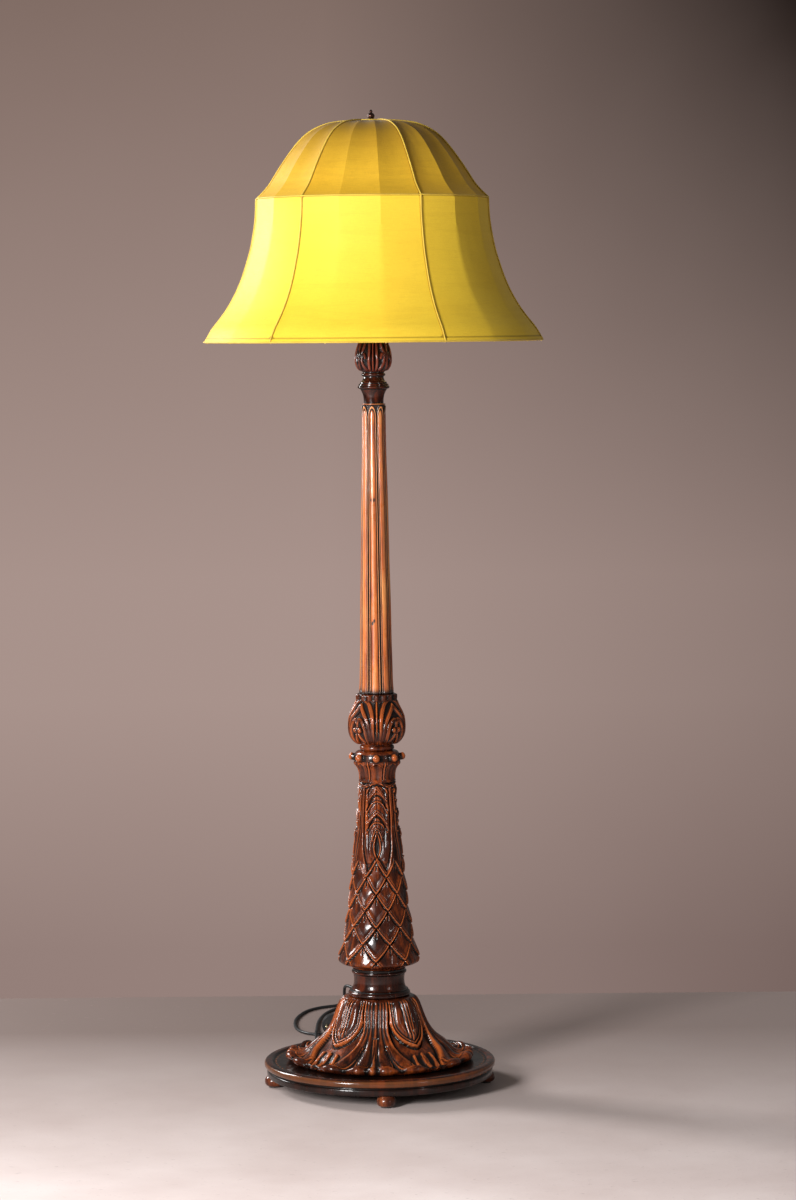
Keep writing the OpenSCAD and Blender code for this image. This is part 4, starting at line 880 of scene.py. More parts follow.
relief = bell_relief(bell_angles, bell_up, bell_line[:, 0], bell_far)
wooden("leaf_bell", bell_line, relief, BELL_COLUMNS, carved_wood, "acanthus_bell", reach=3.4, depth=1.3)

# %% [markdown]
# ## Neck
# The neck is plain turning with a high polish: a fat ring, a small fillet, a hollow waist and a
# fine ring under the scales. It is hollow inside, and the lead leaves it at the back through a
# rubber bush, so the solid model keeps that hole and this surface is only its skin.

# %% Neck
neck_outline = [(0, 163.1), (51, 163.1), (51, 163.1), (52.6, 163.6), (54.8, 165.4), (55.2, 168),
                (54.6, 170.2), (52.8, 172), (52.8, 172), (52, 172.6), (51.6, 174.4), (51.6, 174.4),
                (49, 175.4), (47, 179), (45.6, 184), (45, 190), (45.1, 196), (45.8, 200.5),
                (46.3, 203.2), (46.3, 203.2), (48.2, 204), (49, 206), (48.2, 208), (46.4, 208.8),
                (46.4, 208.8), (46.6, 210.6), (47.2, 212.8), (47.2, 212.8), (0, 212.8)]
neck_line = evenly(neck_outline, 170)
up = neck_line[:, 1:]
# Painted shade: dark lines in the neck's grooves, under the flared foot of the scaled shaft and where the
# neck stands on the bell.
neck_painted_shade = (bead(up - 173.6, 1.8) + bead(up - 203.2, 1.4) + smooth(206, 212, up)
               + 0.4 * bead(up - 163.4, 3))
plainly_turned("neck_turned", neck_line, 160, neck_painted_shade, "neck_collar")

# %% [markdown]
# ## Shaft with scales and husks
# The lower half is covered with pointed scales that hang like roof tiles, eight to a row and each
# row turned by half a scale. Above them stand four narrow panels: husks in stacked arches over an
# almond-shaped eye. A scale belongs to the highest row whose V lies below the point, so the rows
# are laid one after the other from the bottom, as a roofer would.

# %% Outline of the shaft
SCALE_TURN, HUSK_TURN = -4.0, -1.5
shaft_outline = [(0, 213.2), (46.6, 213.2), (46.6, 213.2), (48, 215.6), (53, 218), (60, 219.8),
                 (66.4, 221.6), (69.6, 224.4), (70.2, 228), (69.4, 232.6), (67.6, 239.5), (65, 247.5),
                 (62.2, 261), (59.2, 275), (56.8, 290), (54.6, 304), (52.6, 319), (50.8, 333),
                 (48.6, 352), (46.6, 369), (45.4, 384), (44.9, 398), (44.4, 412), (43.2, 430),
                 (40.6, 446), (38.6, 462), (37.6, 480), (37.0, 495), (36.3, 512), (35.4, 527),
                 (34.4, 540), (33, 548), (33, 548), (0, 548)]
shaft_line = capped(shaft_outline, 306, 24, 16)
SHAFT_COLUMNS = 304
shaft_angles = np.arange(SHAFT_COLUMNS) * 360 / SHAFT_COLUMNS
shaft_radius = radius_at(shaft_line)

# %% Scales
SCALE_RISE, LOWEST_TIP = 29.4, 232.4


def scale_relief(angle, z, radius):
    """Each row k has its tips at LOWEST_TIP + k rises. A V climbs from a tip by one rise over half
    the width of a scale: under it lies a groove, along it a doubled border, and inside it a
    hollow field with a slit down from the tip above."""
    mm = np.radians(1.0) * radius[:, None]
    z = z[:, None]
    out = np.zeros((len(radius), len(angle)))
    for k in range(-2, 6):
        tip = LOWEST_TIP + SCALE_RISE * k
        half = 22.5
        a = np.abs(nearest(angle, 8, SCALE_TURN + (22.5 if k % 2 else 0.0)))[None, :]
        edge = tip + SCALE_RISE * (a / half) ** 1.12
        slope = SCALE_RISE / (half * mm)
        d = (z - edge) / np.hypot(1, slope)
        inside = d > 0
        u = a * mm
        lean = 2.6 * (1 - smooth(0, 44, z - tip))
        border = 1.6 * bead(d - 1.4, 1.5) + 0.7 * bead(d - 4.9, 1.0) - 1.2 * bead(d - 3.3, 1.0)
        field = -1.3 * smooth(5.5, 11, d) * (1 - 0.6 * smooth(12, 24, d))
        slit_top, slit_low = tip + 2 * SCALE_RISE, tip + 2 * SCALE_RISE - 17
        slit = -2.2 * bead(u, 1.4) * smooth(slit_low - 3, slit_low + 3, z) * (z < slit_top)
        lips = 0.9 * bead(u - 2.6, 1.7) * smooth(slit_low - 6, slit_low + 4, z) * (z < slit_top)
        scale = lean + border + field + slit + lips
        groove = -2.8 * bead(d + 0.7, 2.5)
        out = np.where(inside, scale, out + np.where(d > -3.4, groove, 0.0))
    return out


# %% Husks
PANEL_SIDE = [(45, 575), (45, 548), (44.5, 510), (44, 475), (42, 452), (40, 435), (37, 420), (32, 403),
              (27.5, 393), (23, 388), (17.5, 391), (12, 396), (6, 403.5), (0, 411)]
ARCHES = [[(0, 549), (10, 547.4), (20, 541.5), (27, 535), (31, 529)],
          [(0, 514), (10, 512), (18, 507), (25, 500), (29, 493)],
          [(0, 476.5), (8, 475.4), (15, 472), (22, 466), (27, 459)]]
BLADES = [[(0, 540.5), (8, 535), (16, 529), (23, 523.5), (28, 519)],
          [(0, 498), (8, 493.5), (16, 488), (22, 483), (26, 479)],
          [(0, 466), (5, 463), (9, 457), (12, 449)]]
UNDERCUTS = [[(0, 524.5), (8, 522.6), (15, 518), (21, 511.5), (25, 505), (29, 499)],
             [(0, 487), (8, 483.4), (15, 477), (21, 470), (26, 462)]]
BAND = [(31.5, 538), (31, 500), (30, 475), (28.4, 455), (26, 436), (22.5, 419), (19, 409)]
LOW_RIDGE = [(12, 460), (16, 446), (17, 431), (14, 416)]
EYE_LOW, EYE_TOP, EYE_HALF = 412.0, 459.0, 6.0


def husk_relief(angle, z, radius):
    """A panel's sides and lower lobes are one raised line. Down its middle hang husks: a thin
    arch, then a pair of doubled blades, then a deep undercut. Smooth bands run down both sides,
    and the eye has a raised lip round a deep slot. Every line is drawn once and mirrored."""
    a = np.abs(nearest(angle, 4, HUSK_TURN))[None, :]
    mm = np.radians(1.0) * radius[:, None]
    z = z[:, None]
    u = a * mm

    def off(line):
        return distance_to(unrolled(line, shaft_radius), u, z)

    low = np.array(PANEL_SIDE)[::-1]
    low_line = np.interp(a, low[:10, 0], low[:10, 1])
    inside = (z > low_line) & (a < np.interp(z, [386, 420, 435, 452, 475, 510, 575],
                                             [45, 37, 40, 42, 44, 44.5, 45]))
    d = np.where(inside, off(PANEL_SIDE), -off(PANEL_SIDE))
    out = np.where(inside, -1.2, 0.0) + 2.2 * bead(d - 1.2, 1.6)
    inner = -2.4 * bead(d - 4.6, 2.1)
    for arch in ARCHES:
        line = off(arch)
        inner = inner + 1.9 * bead(line, 1.4) - 1.2 * bead(line - 2.5, 1.2)
    for blade in BLADES:
        upper, lower = off(blade), off([(x, y - 4.4) for x, y in blade])
        inner = inner + 2.3 * bead(upper, 1.7) + 3.0 * bead(lower, 2.1) - 0.8 * bead(upper - 2.2, 0.6)
    for cut in UNDERCUTS:
        inner = inner - 3.2 * bead(off(cut), 2.6)
    wide = np.interp(z, [410, 450, 480], [5.0, 4.6, 3.2])
    inner = inner + 2.6 * ridge(off(BAND), wide) + 1.5 * bead(off(LOW_RIDGE), 2.2)
    inner = inner - 1.8 * bead(u, 0.9) * smooth(462, 470, z) * smooth(545, 538, z)
    t = np.clip((z - EYE_LOW) / (EYE_TOP - EYE_LOW), 0, 1)
    half = EYE_HALF * np.sin(np.pi * t ** 0.9) ** 0.9 + 1e-3
    from_lip = u - half
    near_eye = (z > EYE_LOW - 2) & (z < EYE_TOP + 2)
    inner = inner + np.where(near_eye, 2.2 * bead(from_lip, 1.5) - 3.6 * smooth(-1.0, -2.6, from_lip)
                             - 1.4 * bead(from_lip - 2.6, 1.4), 0.0)
    out = out + np.where(inside, inner, 0.0)
    return out, inside


# %% The shaft itself
scales = scale_relief(shaft_angles, shaft_line[:, 1], shaft_line[:, 0])
husks, in_panel = husk_relief(shaft_angles, shaft_line[:, 1], shaft_line[:, 0])
up = shaft_line[:, 1][:, None]
high = smooth(396, 418, up)
relief = np.where(in_panel, husks, scales * (1 - high) + husks * high + np.minimum(husks, 0) * (1 - high))
slimmer_top = 2.0 * smooth(470, 530, up) * smooth(548.2, 547, up)
relief = relief * smooth(221, 228, up) * smooth(548.2, 544, up) - slimmer_top
relief[:2] = relief[-2:] = 0
wooden("scaled_shaft_carved", shaft_line, relief, SHAFT_COLUMNS, carved_wood, "scaled_shaft",
       reach=2.6, depth=1.5)

# %% [markdown]
# ## Berry collar
# Eight berries ring the top of a short fluted trumpet, one over each flute, with deep hollows
# between them. A berry is the cap of a ball: the square root of what is left of its radius once
# the distance from its middle is taken away. As the balls are part of the same grid, no seam
# shows where they grow out of the wood.

# %% Berry collar
BERRY_TURN, BERRY_R, BERRY_Z = -1.5, 6.5, 591.0
collar_outline = [(0, 547.6), (31, 547.6), (31, 547.6), (32.4, 549), (32.4, 556), (33, 562),
                  (34.6, 568.6), (38, 575.4), (42, 580.4), (44.6, 583.4), (45, 587), (44.6, 592),
                  (43.6, 596.6), (40.4, 599), (36, 600.6), (30.6, 602), (30.6, 602), (0, 602)]
collar_line = capped(collar_outline, 156, 16, 15)
collar_angles = np.arange(360) * 1.0
phi = nearest(collar_angles, 8, BERRY_TURN)[None, :]
up = collar_line[:, 1:]
mm = np.radians(1.0) * collar_line[:, :1]
away = np.hypot(phi * mm * 1.02, up - BERRY_Z)
ball = np.sqrt(np.clip(BERRY_R ** 2 - away ** 2, 0, None))
shelf = smooth(579, 584, up) * smooth(601, 598, up)
berries = np.where(away < BERRY_R, ball - 1.0, -3.4 * smooth(BERRY_R, BERRY_R + 2.5, away) - 1.0) * shelf
stem = 1.0 * bead(away - 8.2, 1.1) * shelf * (up < BERRY_Z)
flank = (22.5 - np.abs(phi)) * mm
flute = (1.7 * bead(flank, 2.3) + 0.8 * bead(flank - 4.1, 1.2) - 1.5 * bead(flank - 2.8, 1.0)
         - 1.3 * bead(phi * mm, 6.5)) * smooth(549, 553, up) * smooth(585, 580, up)
arch = 1.1 * bead(up - 580.5 + 0.05 * (phi * mm) ** 2, 1.7) * smooth(12, 9, np.abs(phi * mm))
relief = berries + stem + flute + arch
relief[:2] = relief[-2:] = 0
wooden("berry_collar_carved", collar_line, relief, 360, carved_wood, "berry_collar", reach=2.4, depth=1.3)

# %% [markdown]
# ## Vase knop
# Four leaves wrap the knop. Each has a raised rib in the middle and fat lobes that curl outwards
# on both sides, with a round boss under the topmost curl, and the leaves of neighbours meet in a
# dark line. The lobes are drawn as curved lines on the unrolled surface, and each is a rounded
# ridge round its line. Where two ridges meet, the higher one wins, which leaves a crisp valley.

# %% Vase knop
KNOP_TURN = 0.5
knop_ring = np.radians(np.arange(-80, 81, 20))
knop_outline = [(0, 602), (27, 602), (27, 602)]
knop_outline += [(27 + 3.6 * math.cos(a), 607 + 4.4 * math.sin(a)) for a in knop_ring]
knop_outline += [(27.8, 612.6), (31.4, 614.2), (38.4, 618.6), (43.6, 624.4), (46.9, 631), (48.6, 638),
                 (49, 646), (48.6, 654), (47.4, 661.6), (44.8, 669), (41.4, 676.4), (38.2, 683.4),
                 (35.8, 690), (35.3, 695), (35.6, 699.6), (34.2, 702.4), (32, 703), (32, 703), (0, 703)]
knop_line = capped(knop_outline, 210, 14, 16)
knop_angles = np.arange(384) * 360 / 384

KNOP_LOBES = [[(4.5, 614), (8.5, 638), (9, 655), (12.5, 672), (21, 686), (33, 694)],
              [(11.5, 616), (16, 639), (18.8, 652), (26, 664.5), (37, 676), (47, 685)],
              [(20, 617), (23.5, 634), (26.6, 647), (33.4, 657), (41.5, 659), (46, 653)],
              [(45, 652), (41.5, 632), (31, 619)]]
phi = np.abs(nearest(knop_angles, 4, KNOP_TURN))[None, :]
up = knop_line[:, 1:]
u = phi * np.radians(1.0) * knop_line[:, :1]
relief = np.full((len(knop_line), 384), -1.6)
for i, lobe in enumerate(KNOP_LOBES):
    off = distance_to(unrolled(lobe, radius_at(knop_line)), u, up)
    tall, wide = (4.4, 4.3) if i < 3 else (3.0, 2.6)
    relief = np.maximum(relief, -1.6 + tall * ridge(off, wide))
    relief = relief - 0.7 * bead(off, 0.8) * (i < 3)
relief = np.maximum(relief, -1.6 + 3.6 * bead(u, 2.6))
relief = relief - 1.6 * bead(phi - 4.6, 1.5)
boss = np.hypot(u - np.radians(38.5) * 49, up - 641)
relief = np.maximum(relief, np.sqrt(np.clip(5.6 ** 2 - boss ** 2, 0, None)) - 2.6)
relief = relief - 1.2 * bead(boss - 6.4, 1.0)
relief = relief - 2.2 * bead((45 - phi), 1.6) * smooth(616, 622, up) * smooth(664, 658, up)
body = smooth(612.6, 617, up) * smooth(694, 688, up)
scallop = 1.3 * np.cos(np.radians(phi * 16)) * smooth(691, 694, up) * smooth(703, 700.5, up)
relief = relief * body + scallop * (1 - body)
relief[:2] = relief[-2:] = 0
wooden("vase_knop_carved", knop_line, relief, 384, carved_wood, "vase_knop", reach=2.6, depth=1.5)

# %% [markdown]
# ## Reeded shaft
# The upper shaft is the lightest part of the stand, straight-grained and worn to a golden brown.
# Eight convex reeds run up it, each in a frame of a thin line and a flat fillet, with a deep
# groove between neighbours. At the top the frame closes over the reed in a round arch. The whole
# profile is one function of the angle from the middle of a reed: above the arch's centre that
# angle is replaced by the distance from the centre, and the arch comes of itself.

# %% Reeded shaft
REED_COUNT, REED_FOOT_TURN, REED_TOP_TURN, ARCH_Z, ARCH_STRETCH = 8, -4.0, -8.5, 1190.0, 2.9
reed_outline = [(30.5, 703), (30.2, 712), (29.3, 726), (28.6, 762), (27.7, 798), (26.8, 869),
                (25.2, 940), (24.2, 1010), (23.3, 1060), (21.8, 1116), (21.2, 1152), (21, 1185),
                (21.2, 1200), (21.8, 1208), (22.4, 1213), (21.6, 1215.6), (19, 1216)]
reed_curve = catmull(reed_outline, 12)
reed_heights = np.r_[np.linspace(703, 1186, 112)[:-1], np.linspace(1186, 1214.6, 66)]
reed_line = np.stack([np.interp(reed_heights, reed_curve[:-13, 1], reed_curve[:-13, 0]), reed_heights], -1)
reed_top = [(21.6, 1215.6), (19, 1216), (10, 1216), (0.5, 1216)]
reed_line = np.vstack([[(1, 703), (20, 703)], reed_line, reed_top])
reed_angles = np.arange(440) * 360 / 440
up = reed_line[:, 1:]
turn = REED_FOOT_TURN + (REED_TOP_TURN - REED_FOOT_TURN) * np.clip((up - 720) / 440, 0, 1)
phi = np.abs(nearest(reed_angles[None, :], REED_COUNT, turn))
mm = np.radians(1.0) * reed_line[:, :1]
rho = np.where(up > ARCH_Z, np.hypot(phi, np.maximum(up - ARCH_Z, 0) / mm / ARCH_STRETCH), phi)
reed = 2.2 * ridge(rho, 13.2)
frame_line = -1.0 * bead(rho - 14.4, 1.3)
fillet = 1.5 * smooth(15.0, 16.4, rho) * smooth(20.2, 18.8, rho)
groove = -2.4 * smooth(19.6, 21.4, rho)
relief = (reed + frame_line + fillet + groove) - 2.0
DENTS = [(1046, -16), (1047, -3), (1044, 9), (1048, 19), (831, -25), (829, -12), (833, -5), (905, 60),
         (1100, 150), (870, 215)]
dents = np.zeros_like(relief)
spots = np.random.default_rng(5)
for z0, a0 in DENTS:
    gap = nearest(reed_angles, 1, a0 + spots.uniform(-1, 1))[None, :] * mm
    dents += bead(np.hypot(gap / 2.6, (up - z0) / 1.5), 1.0)
relief = relief - 0.6 * np.clip(dents, 0, 1)
relief = relief * smooth(1216, 1214.4, up)
relief[:2] = relief[-3:] = 0
radius, height = carved(reed_line, relief)
marks = shade_and_wear_marks(relief, 4.3, 0.36, 1.3, 0.9)
# Hollow mark: painted shade in the grooves, along the frame lines and at the foot of the shaft, and darker
# dents. Edge mark: lighter fillets as wear, and a painted highlight down the middle of each reed.
marks["hollow"] = np.clip(smooth(18.2, 20.4, rho) + 0.95 * bead(rho - 14.4, 2.4) + dents
                          + 0.5 * smooth(716, 703, up), 0, 1) * smooth(1216, 1214, up)
marks["edge"] = np.clip(0.8 * bead(rho - 17.4, 2.2) + 0.5 * bead(rho, 10), 0, 1) * (1 - np.clip(dents, 0, 1))
turned("reeded_shaft_carved", radius, height, reed_angles, shaft_wood,
       replace=("reeded_shaft",),
       marks=marks)

# %% [markdown]
# ## Cup neck and tulip
# The cup is sharp turning again. The tulip above it is carved with four leaves, each with a
# strong middle rib and a curled lobe on either side, and it runs up into the shade. A metal cap
# and nut on its top hold the whole stand together.

# %% Cup neck
cup_outline = [(0, 1216), (17.4, 1216), (17.4, 1216), (17.5, 1220), (17.9, 1226), (18.9, 1231.5),
               (20.8, 1236.4), (22.9, 1240.4), (23.3, 1241.4), (23.3, 1241.4), (24.6, 1241.8),
               (27.4, 1243.2), (28.2, 1245), (27.6, 1246.6), (26.4, 1247.4), (26.4, 1247.4),
               (26.2, 1250), (25, 1250.8), (23.6, 1251), (23.6, 1251), (23.2, 1253.8), (21.4, 1255),
               (20, 1256.4), (18.6, 1259.6), (18, 1262.8), (18.3, 1264.2), (18.3, 1264.2),
               (20.2, 1264.8), (20.9, 1267), (20.4, 1269), (19, 1269.6), (19, 1269.6), (18.8, 1271),
               (19.4, 1272), (19.4, 1272), (0, 1272)]
cup_line = evenly(cup_outline, 230, 6)
up = cup_line[:, 1:]
# Painted shade: dark lines in the cup's grooves, and darkening at both ends where it meets the reeds and the
# tulip.
CUP_LINES = [(1241.2, 1.3), (1251.4, 1.0), (1247.4, 0.8), (1263.6, 1.3)]
cup_painted_shade = sum(bead(up - z, half) for z, half in CUP_LINES)
plainly_turned("cup_neck_turned", cup_line, 120,
               cup_painted_shade + smooth(1269.2, 1271, up) + smooth(1219, 1216, up), "cup_neck")

# %% Tulip
TULIP_TURN = -1.0
tulip_outline = [(0, 1272), (19.6, 1272), (19.6, 1272), (21.6, 1273.4), (25.6, 1276.6), (28.6, 1281),
                 (30.6, 1287), (31.2, 1293), (30.9, 1300), (29.9, 1307), (28, 1314), (25.6, 1321),
                 (23.6, 1328), (22.8, 1334), (23, 1340), (24, 1343), (23.4, 1344.6), (22, 1345),
                 (22, 1345), (0, 1345)]
tulip_line = capped(tulip_outline, 180, 10, 11)
tulip_angles = np.arange(360) * 1.0
phi = np.abs(nearest(tulip_angles, 4, TULIP_TURN))[None, :]
up = tulip_line[:, 1:]

TULIP_LOBES = [[(13, 1274), (14, 1290), (12.5, 1306), (13, 1324), (15, 1343)],
               [(27, 1274), (34, 1281), (39.5, 1290), (38, 1300), (31, 1303), (27, 1297)],
               [(44, 1300), (34, 1316), (32, 1330), (36, 1342)]]
u = phi * np.radians(1.0) * tulip_line[:, :1]
relief = np.full((len(tulip_line), 360), -2.4) + 4.0 * bead(u, 2.6)
for lobe in TULIP_LOBES:
    off = distance_to(unrolled(lobe, radius_at(tulip_line)), u, up)
    relief = np.maximum(relief, -2.4 + 4.0 * ridge(off, 3.2))
relief = relief - 1.1 * bead(u - 3.2, 0.9) - 1.0 * bead(45 - phi, 2.0)
relief = relief * smooth(1272.5, 1276, up) * smooth(1343.6, 1339, up)
relief[:2] = relief[-2:] = 0
wooden("tulip_carved", tulip_line, relief, 360, tulip_wood, "tulip_cup", reach=2.0, depth=1.5)

# %% [markdown]
# ## Metal, porcelain and glass
# The fittings keep the shapes of the solid model: wire, tube and pressed metal are exactly what a
# solid model is good at. They only need their finishes. Old brass has a few dull brown spots, so
# its colour and its roughness come from the same noise.

# %% Finishes of the fittings
def metal(name, bright, dull, roughness, spots=60.0, coat=0.0):
    """Two tones of one metal by a cloudy noise, rougher where it is dull, with fine scratches."""
    n = Nodes(name)
    cloud = n.noise(n.coordinates(), spots, 5.0, 0.6)
    fine = n.noise(n.coordinates((1, 1, 6)), 900.0, 2.0)
    return n.finish(Base_Color=n.mix(n.span(cloud, 0.4, 0.68, 0, 1), bright, dull), Metallic=1.0,
                    Roughness=n.span(cloud, 0.3, 0.7, roughness, roughness + 0.2), Coat_Weight=coat,
                    Coat_Roughness=0.15, Normal=n.bump(fine, 0.12, 0.0002))


def glazed(name, colour, roughness, tint=0.12):
    """Glazed ware or moulded plastic: one colour, slightly clouded, with a smooth skin."""
    n = Nodes(name)
    cloud = n.noise(n.coordinates(), 90.0, 3.0)
    return n.finish(Base_Color=n.mix(n.span(cloud, 0.35, 0.65, 0, 1), colour,
                                     tuple(c * (1 - tint) for c in colour)),
                    Roughness=roughness, Coat_Weight=0.4, Normal=n.bump(cloud, 0.08, 0.0006))


def opal():
    n = Nodes("opal_glass")
    cloud = n.noise(n.coordinates(), 40.0, 2.0)
    return n.finish(Base_Color=n.mix(n.span(cloud, 0.3, 0.7, 0, 1), srgb(240, 238, 232), srgb(228, 226, 220)),
                    Roughness=0.22, Subsurface_Weight=0.35, Subsurface_Radius=(0.004, 0.004, 0.004), IOR=1.5)


def taped_wire():
    """Wire bound with cotton tape: slanting turns seen as bands up the piece, and a soft pile."""
    n = Nodes("taped_wire")
    bands = n.add("ShaderNodeTexWave", wave_type="BANDS", bands_direction="Z")
    bands.inputs["Scale"].default_value = 45.0
    bands.inputs["Distortion"].default_value = 1.2
    n.link(n.coordinates(), bands.inputs["Vector"])
    pile = n.noise(n.coordinates(), 1400.0, 3.0)
    tint = n.mix(bands.outputs["Fac"], srgb(190, 160, 84), srgb(214, 188, 116))
    return n.finish(Base_Color=tint, Roughness=0.85, Sheen_Weight=0.2,
                    Normal=n.bump(pile, 0.3, 0.0003, n.bump(bands.outputs["Fac"], 0.5, 0.0006)))


brass = metal("brass", srgb(214, 170, 92), srgb(150, 108, 52), 0.24, coat=0.3)
finishes = {
    brass: ("top_cap", "riser_tube", "harp_saddle", "harp", "ferrule_left", "ferrule_right", "holder_cap",
            "holder_shell"),
    metal("contact_brass", srgb(222, 186, 112), srgb(180, 140, 76), 0.3): ("thread_shell", "centre_contact"),
    metal("dark_bronze", srgb(88, 58, 46), srgb(38, 24, 22), 0.28, 260.0, 0.4): ("finial",),
    metal("steel", srgb(176, 176, 174), srgb(112, 108, 102), 0.32): ("tie_pipe", "base_washer", "base_nut",
                                                                     "top_nut"),
    metal("pin_metal", srgb(206, 190, 150), srgb(170, 150, 110), 0.25): ("plug_pins",),
    metal("bulb_cap_metal", srgb(196, 196, 192), srgb(150, 148, 142), 0.3): ("bulb_cap",),
    glazed("porcelain", srgb(238, 234, 224), 0.2): ("holder_insulator",),
    glazed("knob_plastic", srgb(52, 34, 26), 0.3, 0.4): ("switch_knob",),
    opal(): ("bulb_glass",),
    taped_wire(): ("shade_spider", "shade_ribs", "waist_ring", "hem_ring"),
}
for finish, nodes in finishes.items():
    for node in nodes:
        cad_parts[node].data.materials[0] = finish
print("finishes:", len(finishes))

# %% [markdown]
# ## Silk shade
# The cover is slub silk, stretched by hand over eighteen taped wires. Between two wires the cloth
# of the dome is pulled inwards a little, because it is tight both along and across, while on the
# concave skirt it stays straight. Cloth simulation would only find that same tight surface
# again, so it is drawn directly: corners at the wires, straight lines between them, and a small
# hollow. The cut is six gores, and the weave is laid out on each gore flat, in metres, because
# threads run on past a wire but not past a seam.

# %% Cloth of the shade
RIB_COUNT, RIB_TURN, SEAM_AT, GORE_BAYS = 18, 4.5, 1, 3
WAIST_R, HEM_R, CROWN_R = 204.0, 298.5, 30.0
WAIST_Z, SKIRT_H, DOME_H, SILK_T = 1575.5, 250.5, 135.0, 0.8
SKIRT = [(0, 0), (0.005, 0.07), (0.02, 0.15), (0.06, 0.25), (0.12, 0.36), (0.195, 0.455), (0.29, 0.56),
         (0.407, 0.66), (0.55, 0.755), (0.70, 0.835), (0.86, 0.91), (1, 1)]
DOME = [(1, 0), (0.93, 0.085), (0.866, 0.181), (0.81, 0.294), (0.752, 0.41), (0.69, 0.525),
        (0.621, 0.645), (0.536, 0.77), (0.433, 0.875), (0.285, 0.958), (0.13, 0.99), (0, 1)]
skirt_line = np.array([(WAIST_R + (HEM_R - WAIST_R) * a, WAIST_Z - SKIRT_H * b) for a, b in SKIRT])
dome_line = np.array([(CROWN_R + (WAIST_R - CROWN_R) * a, WAIST_Z + DOME_H * b) for a, b in DOME])


def silk(name, pale, deep, thread, dust=0.0):
    """Slub silk on the cloth map, in metres: fine threads both ways, short slubs along the weft
    and faint watered bands where silk and lining lie over each other. The seam attribute, in
    millimetres from the nearest seam, draws a painted shadow beside the piping and along the top of
    the hem band. dust, when given, paints shade that darkens the cloth towards the crown."""
    n = Nodes(name)
    weft = n.noise(n.coordinates((90, 2600, 1), "UV"), 1.0, 2.0, 0.5)
    warp = n.noise(n.coordinates((2600, 90, 1), "UV"), 1.0, 2.0, 0.5)
    slub = n.noise(n.coordinates((34, 900, 1), "UV"), 1.0, 3.0, 0.6)
    water = n.noise(n.coordinates((5, 60, 1), "UV", (0, 0, 0.35)), 1.0, 2.0, 0.5, 1.2)
    cloud = n.noise(n.coordinates((6, 6, 1), "UV"), 1.0, 2.0)
    tint = n.mix(n.span(cloud, 0.3, 0.7, 0.0, 0.6), pale, deep)
    tint = n.mix(n.span(slub, 0.55, 0.72, 0.0, 0.28), tint, thread)
    tint = n.mix(n.span(weft, 0.35, 0.65, 0.0, 0.2), tint, thread)
    tint = n.mix(n.span(warp, 0.4, 0.65, 0.0, 0.16), tint, thread)
    tint = n.mix(n.span(water, 0.5, 0.62, 0.0, 0.1), tint, thread)
    # Painted shade: the cloth darkens to a brown towards the crown, by the amount dust.
    if dust:
        parts = n.add("ShaderNodeSeparateXYZ")
        n.link(n.coordinates(), parts.inputs["Vector"])
        tint = n.mix(n.span(parts.outputs["Z"], 1.62, 1.71, 0.0, dust), tint, srgb(126, 92, 24))
    seam = n.span(n.attribute("seam"), 1.3, 2.9, 1.0, 0.0)
    tint = n.mix(n.math("MULTIPLY", seam, 0.7), tint, srgb(112, 78, 12))
    cloth = n.bump(weft, 0.35, 0.0004, n.bump(warp, 0.3, 0.0003, n.bump(slub, 0.35, 0.0005)))
    cloth = n.bump(seam, -0.6, 0.0008, cloth)
    return n.finish(Base_Color=tint, Roughness=n.span(slub, 0.3, 0.7, 0.62, 0.5), Sheen_Weight=0.08,
                    Sheen_Roughness=0.35, Specular_IOR_Level=0.3, Normal=cloth)


skirt_silk = silk("skirt_silk", srgb(246, 210, 62), srgb(236, 196, 52), srgb(204, 156, 30))
# The dome's silk is darker and more olive than the skirt's: partly its own tone, partly painted shade on the
# dome.
dome_silk_olive_and_shaded = silk("dome_silk_olive_and_shaded", srgb(226, 180, 46), srgb(210, 160, 34), srgb(160, 112, 18), dust=0.7)
lining = silk("lining", srgb(232, 218, 160), srgb(224, 206, 142), srgb(200, 176, 110))


PER_BAY = 14


def round_the_shade(fullness, per_bay=PER_BAY):
    """Unit directions round the shade for each value of fullness: at 0 the cloth runs straight
    from wire to wire, at 1 it lies on the circle through the wires."""
    bay, s = np.divmod(np.arange(RIB_COUNT * per_bay), per_bay)
    s = (s / per_bay)[:, None]
    straight = front_direction(RIB_TURN + 20 * bay) * (1 - s) + front_direction(RIB_TURN + 20 * (bay + 1)) * s
    circle = front_direction(RIB_TURN + 20 * (bay + s[:, 0]))
    full = np.asarray(fullness, float).reshape(-1, 1, 1)
    return straight[None] * (1 - full) + circle[None] * full


def cloth_pulls(rows, columns, seed):
    """Faint straight pulls in the cloth, each a narrow ridge that leans a little."""
    chance = np.random.default_rng(seed)
    t = np.linspace(0, 1, rows)[:, None]
    pulls = np.zeros((rows, columns))
    for k in range(90):
        where, tall, lean = chance.uniform(0, columns), chance.uniform(0.1, 0.9), chance.uniform(-9, 9)
        column = np.arange(columns)[None, :] - where - lean * (t - tall)
        column = (column + columns / 2) % columns - columns / 2
        pulls += chance.uniform(0.1, 0.32) * bead(column, 2.4) * bead(t - tall, chance.uniform(0.12, 0.3))
    return pulls * np.sin(np.pi * t)


def two_skins(outer, inner):
    """Points and faces of a closed shell from two grids that go round the shade."""
    rows, columns = outer.shape[:2]
    n = rows * columns
    faces = grid_faces(rows, columns)
    faces += [f[::-1] for f in grid_faces(rows, columns, n)]
    j = np.arange(columns)
    k = (j + 1) % columns
    top = (rows - 1) * columns
    faces += np.stack([n + j, n + k, k, j], -1).tolist()
    faces += np.stack([top + j, top + k, n + top + k, n + top + j], -1).tolist()
    return np.concatenate([outer.reshape(-1, 3), inner.reshape(-1, 3)]), faces


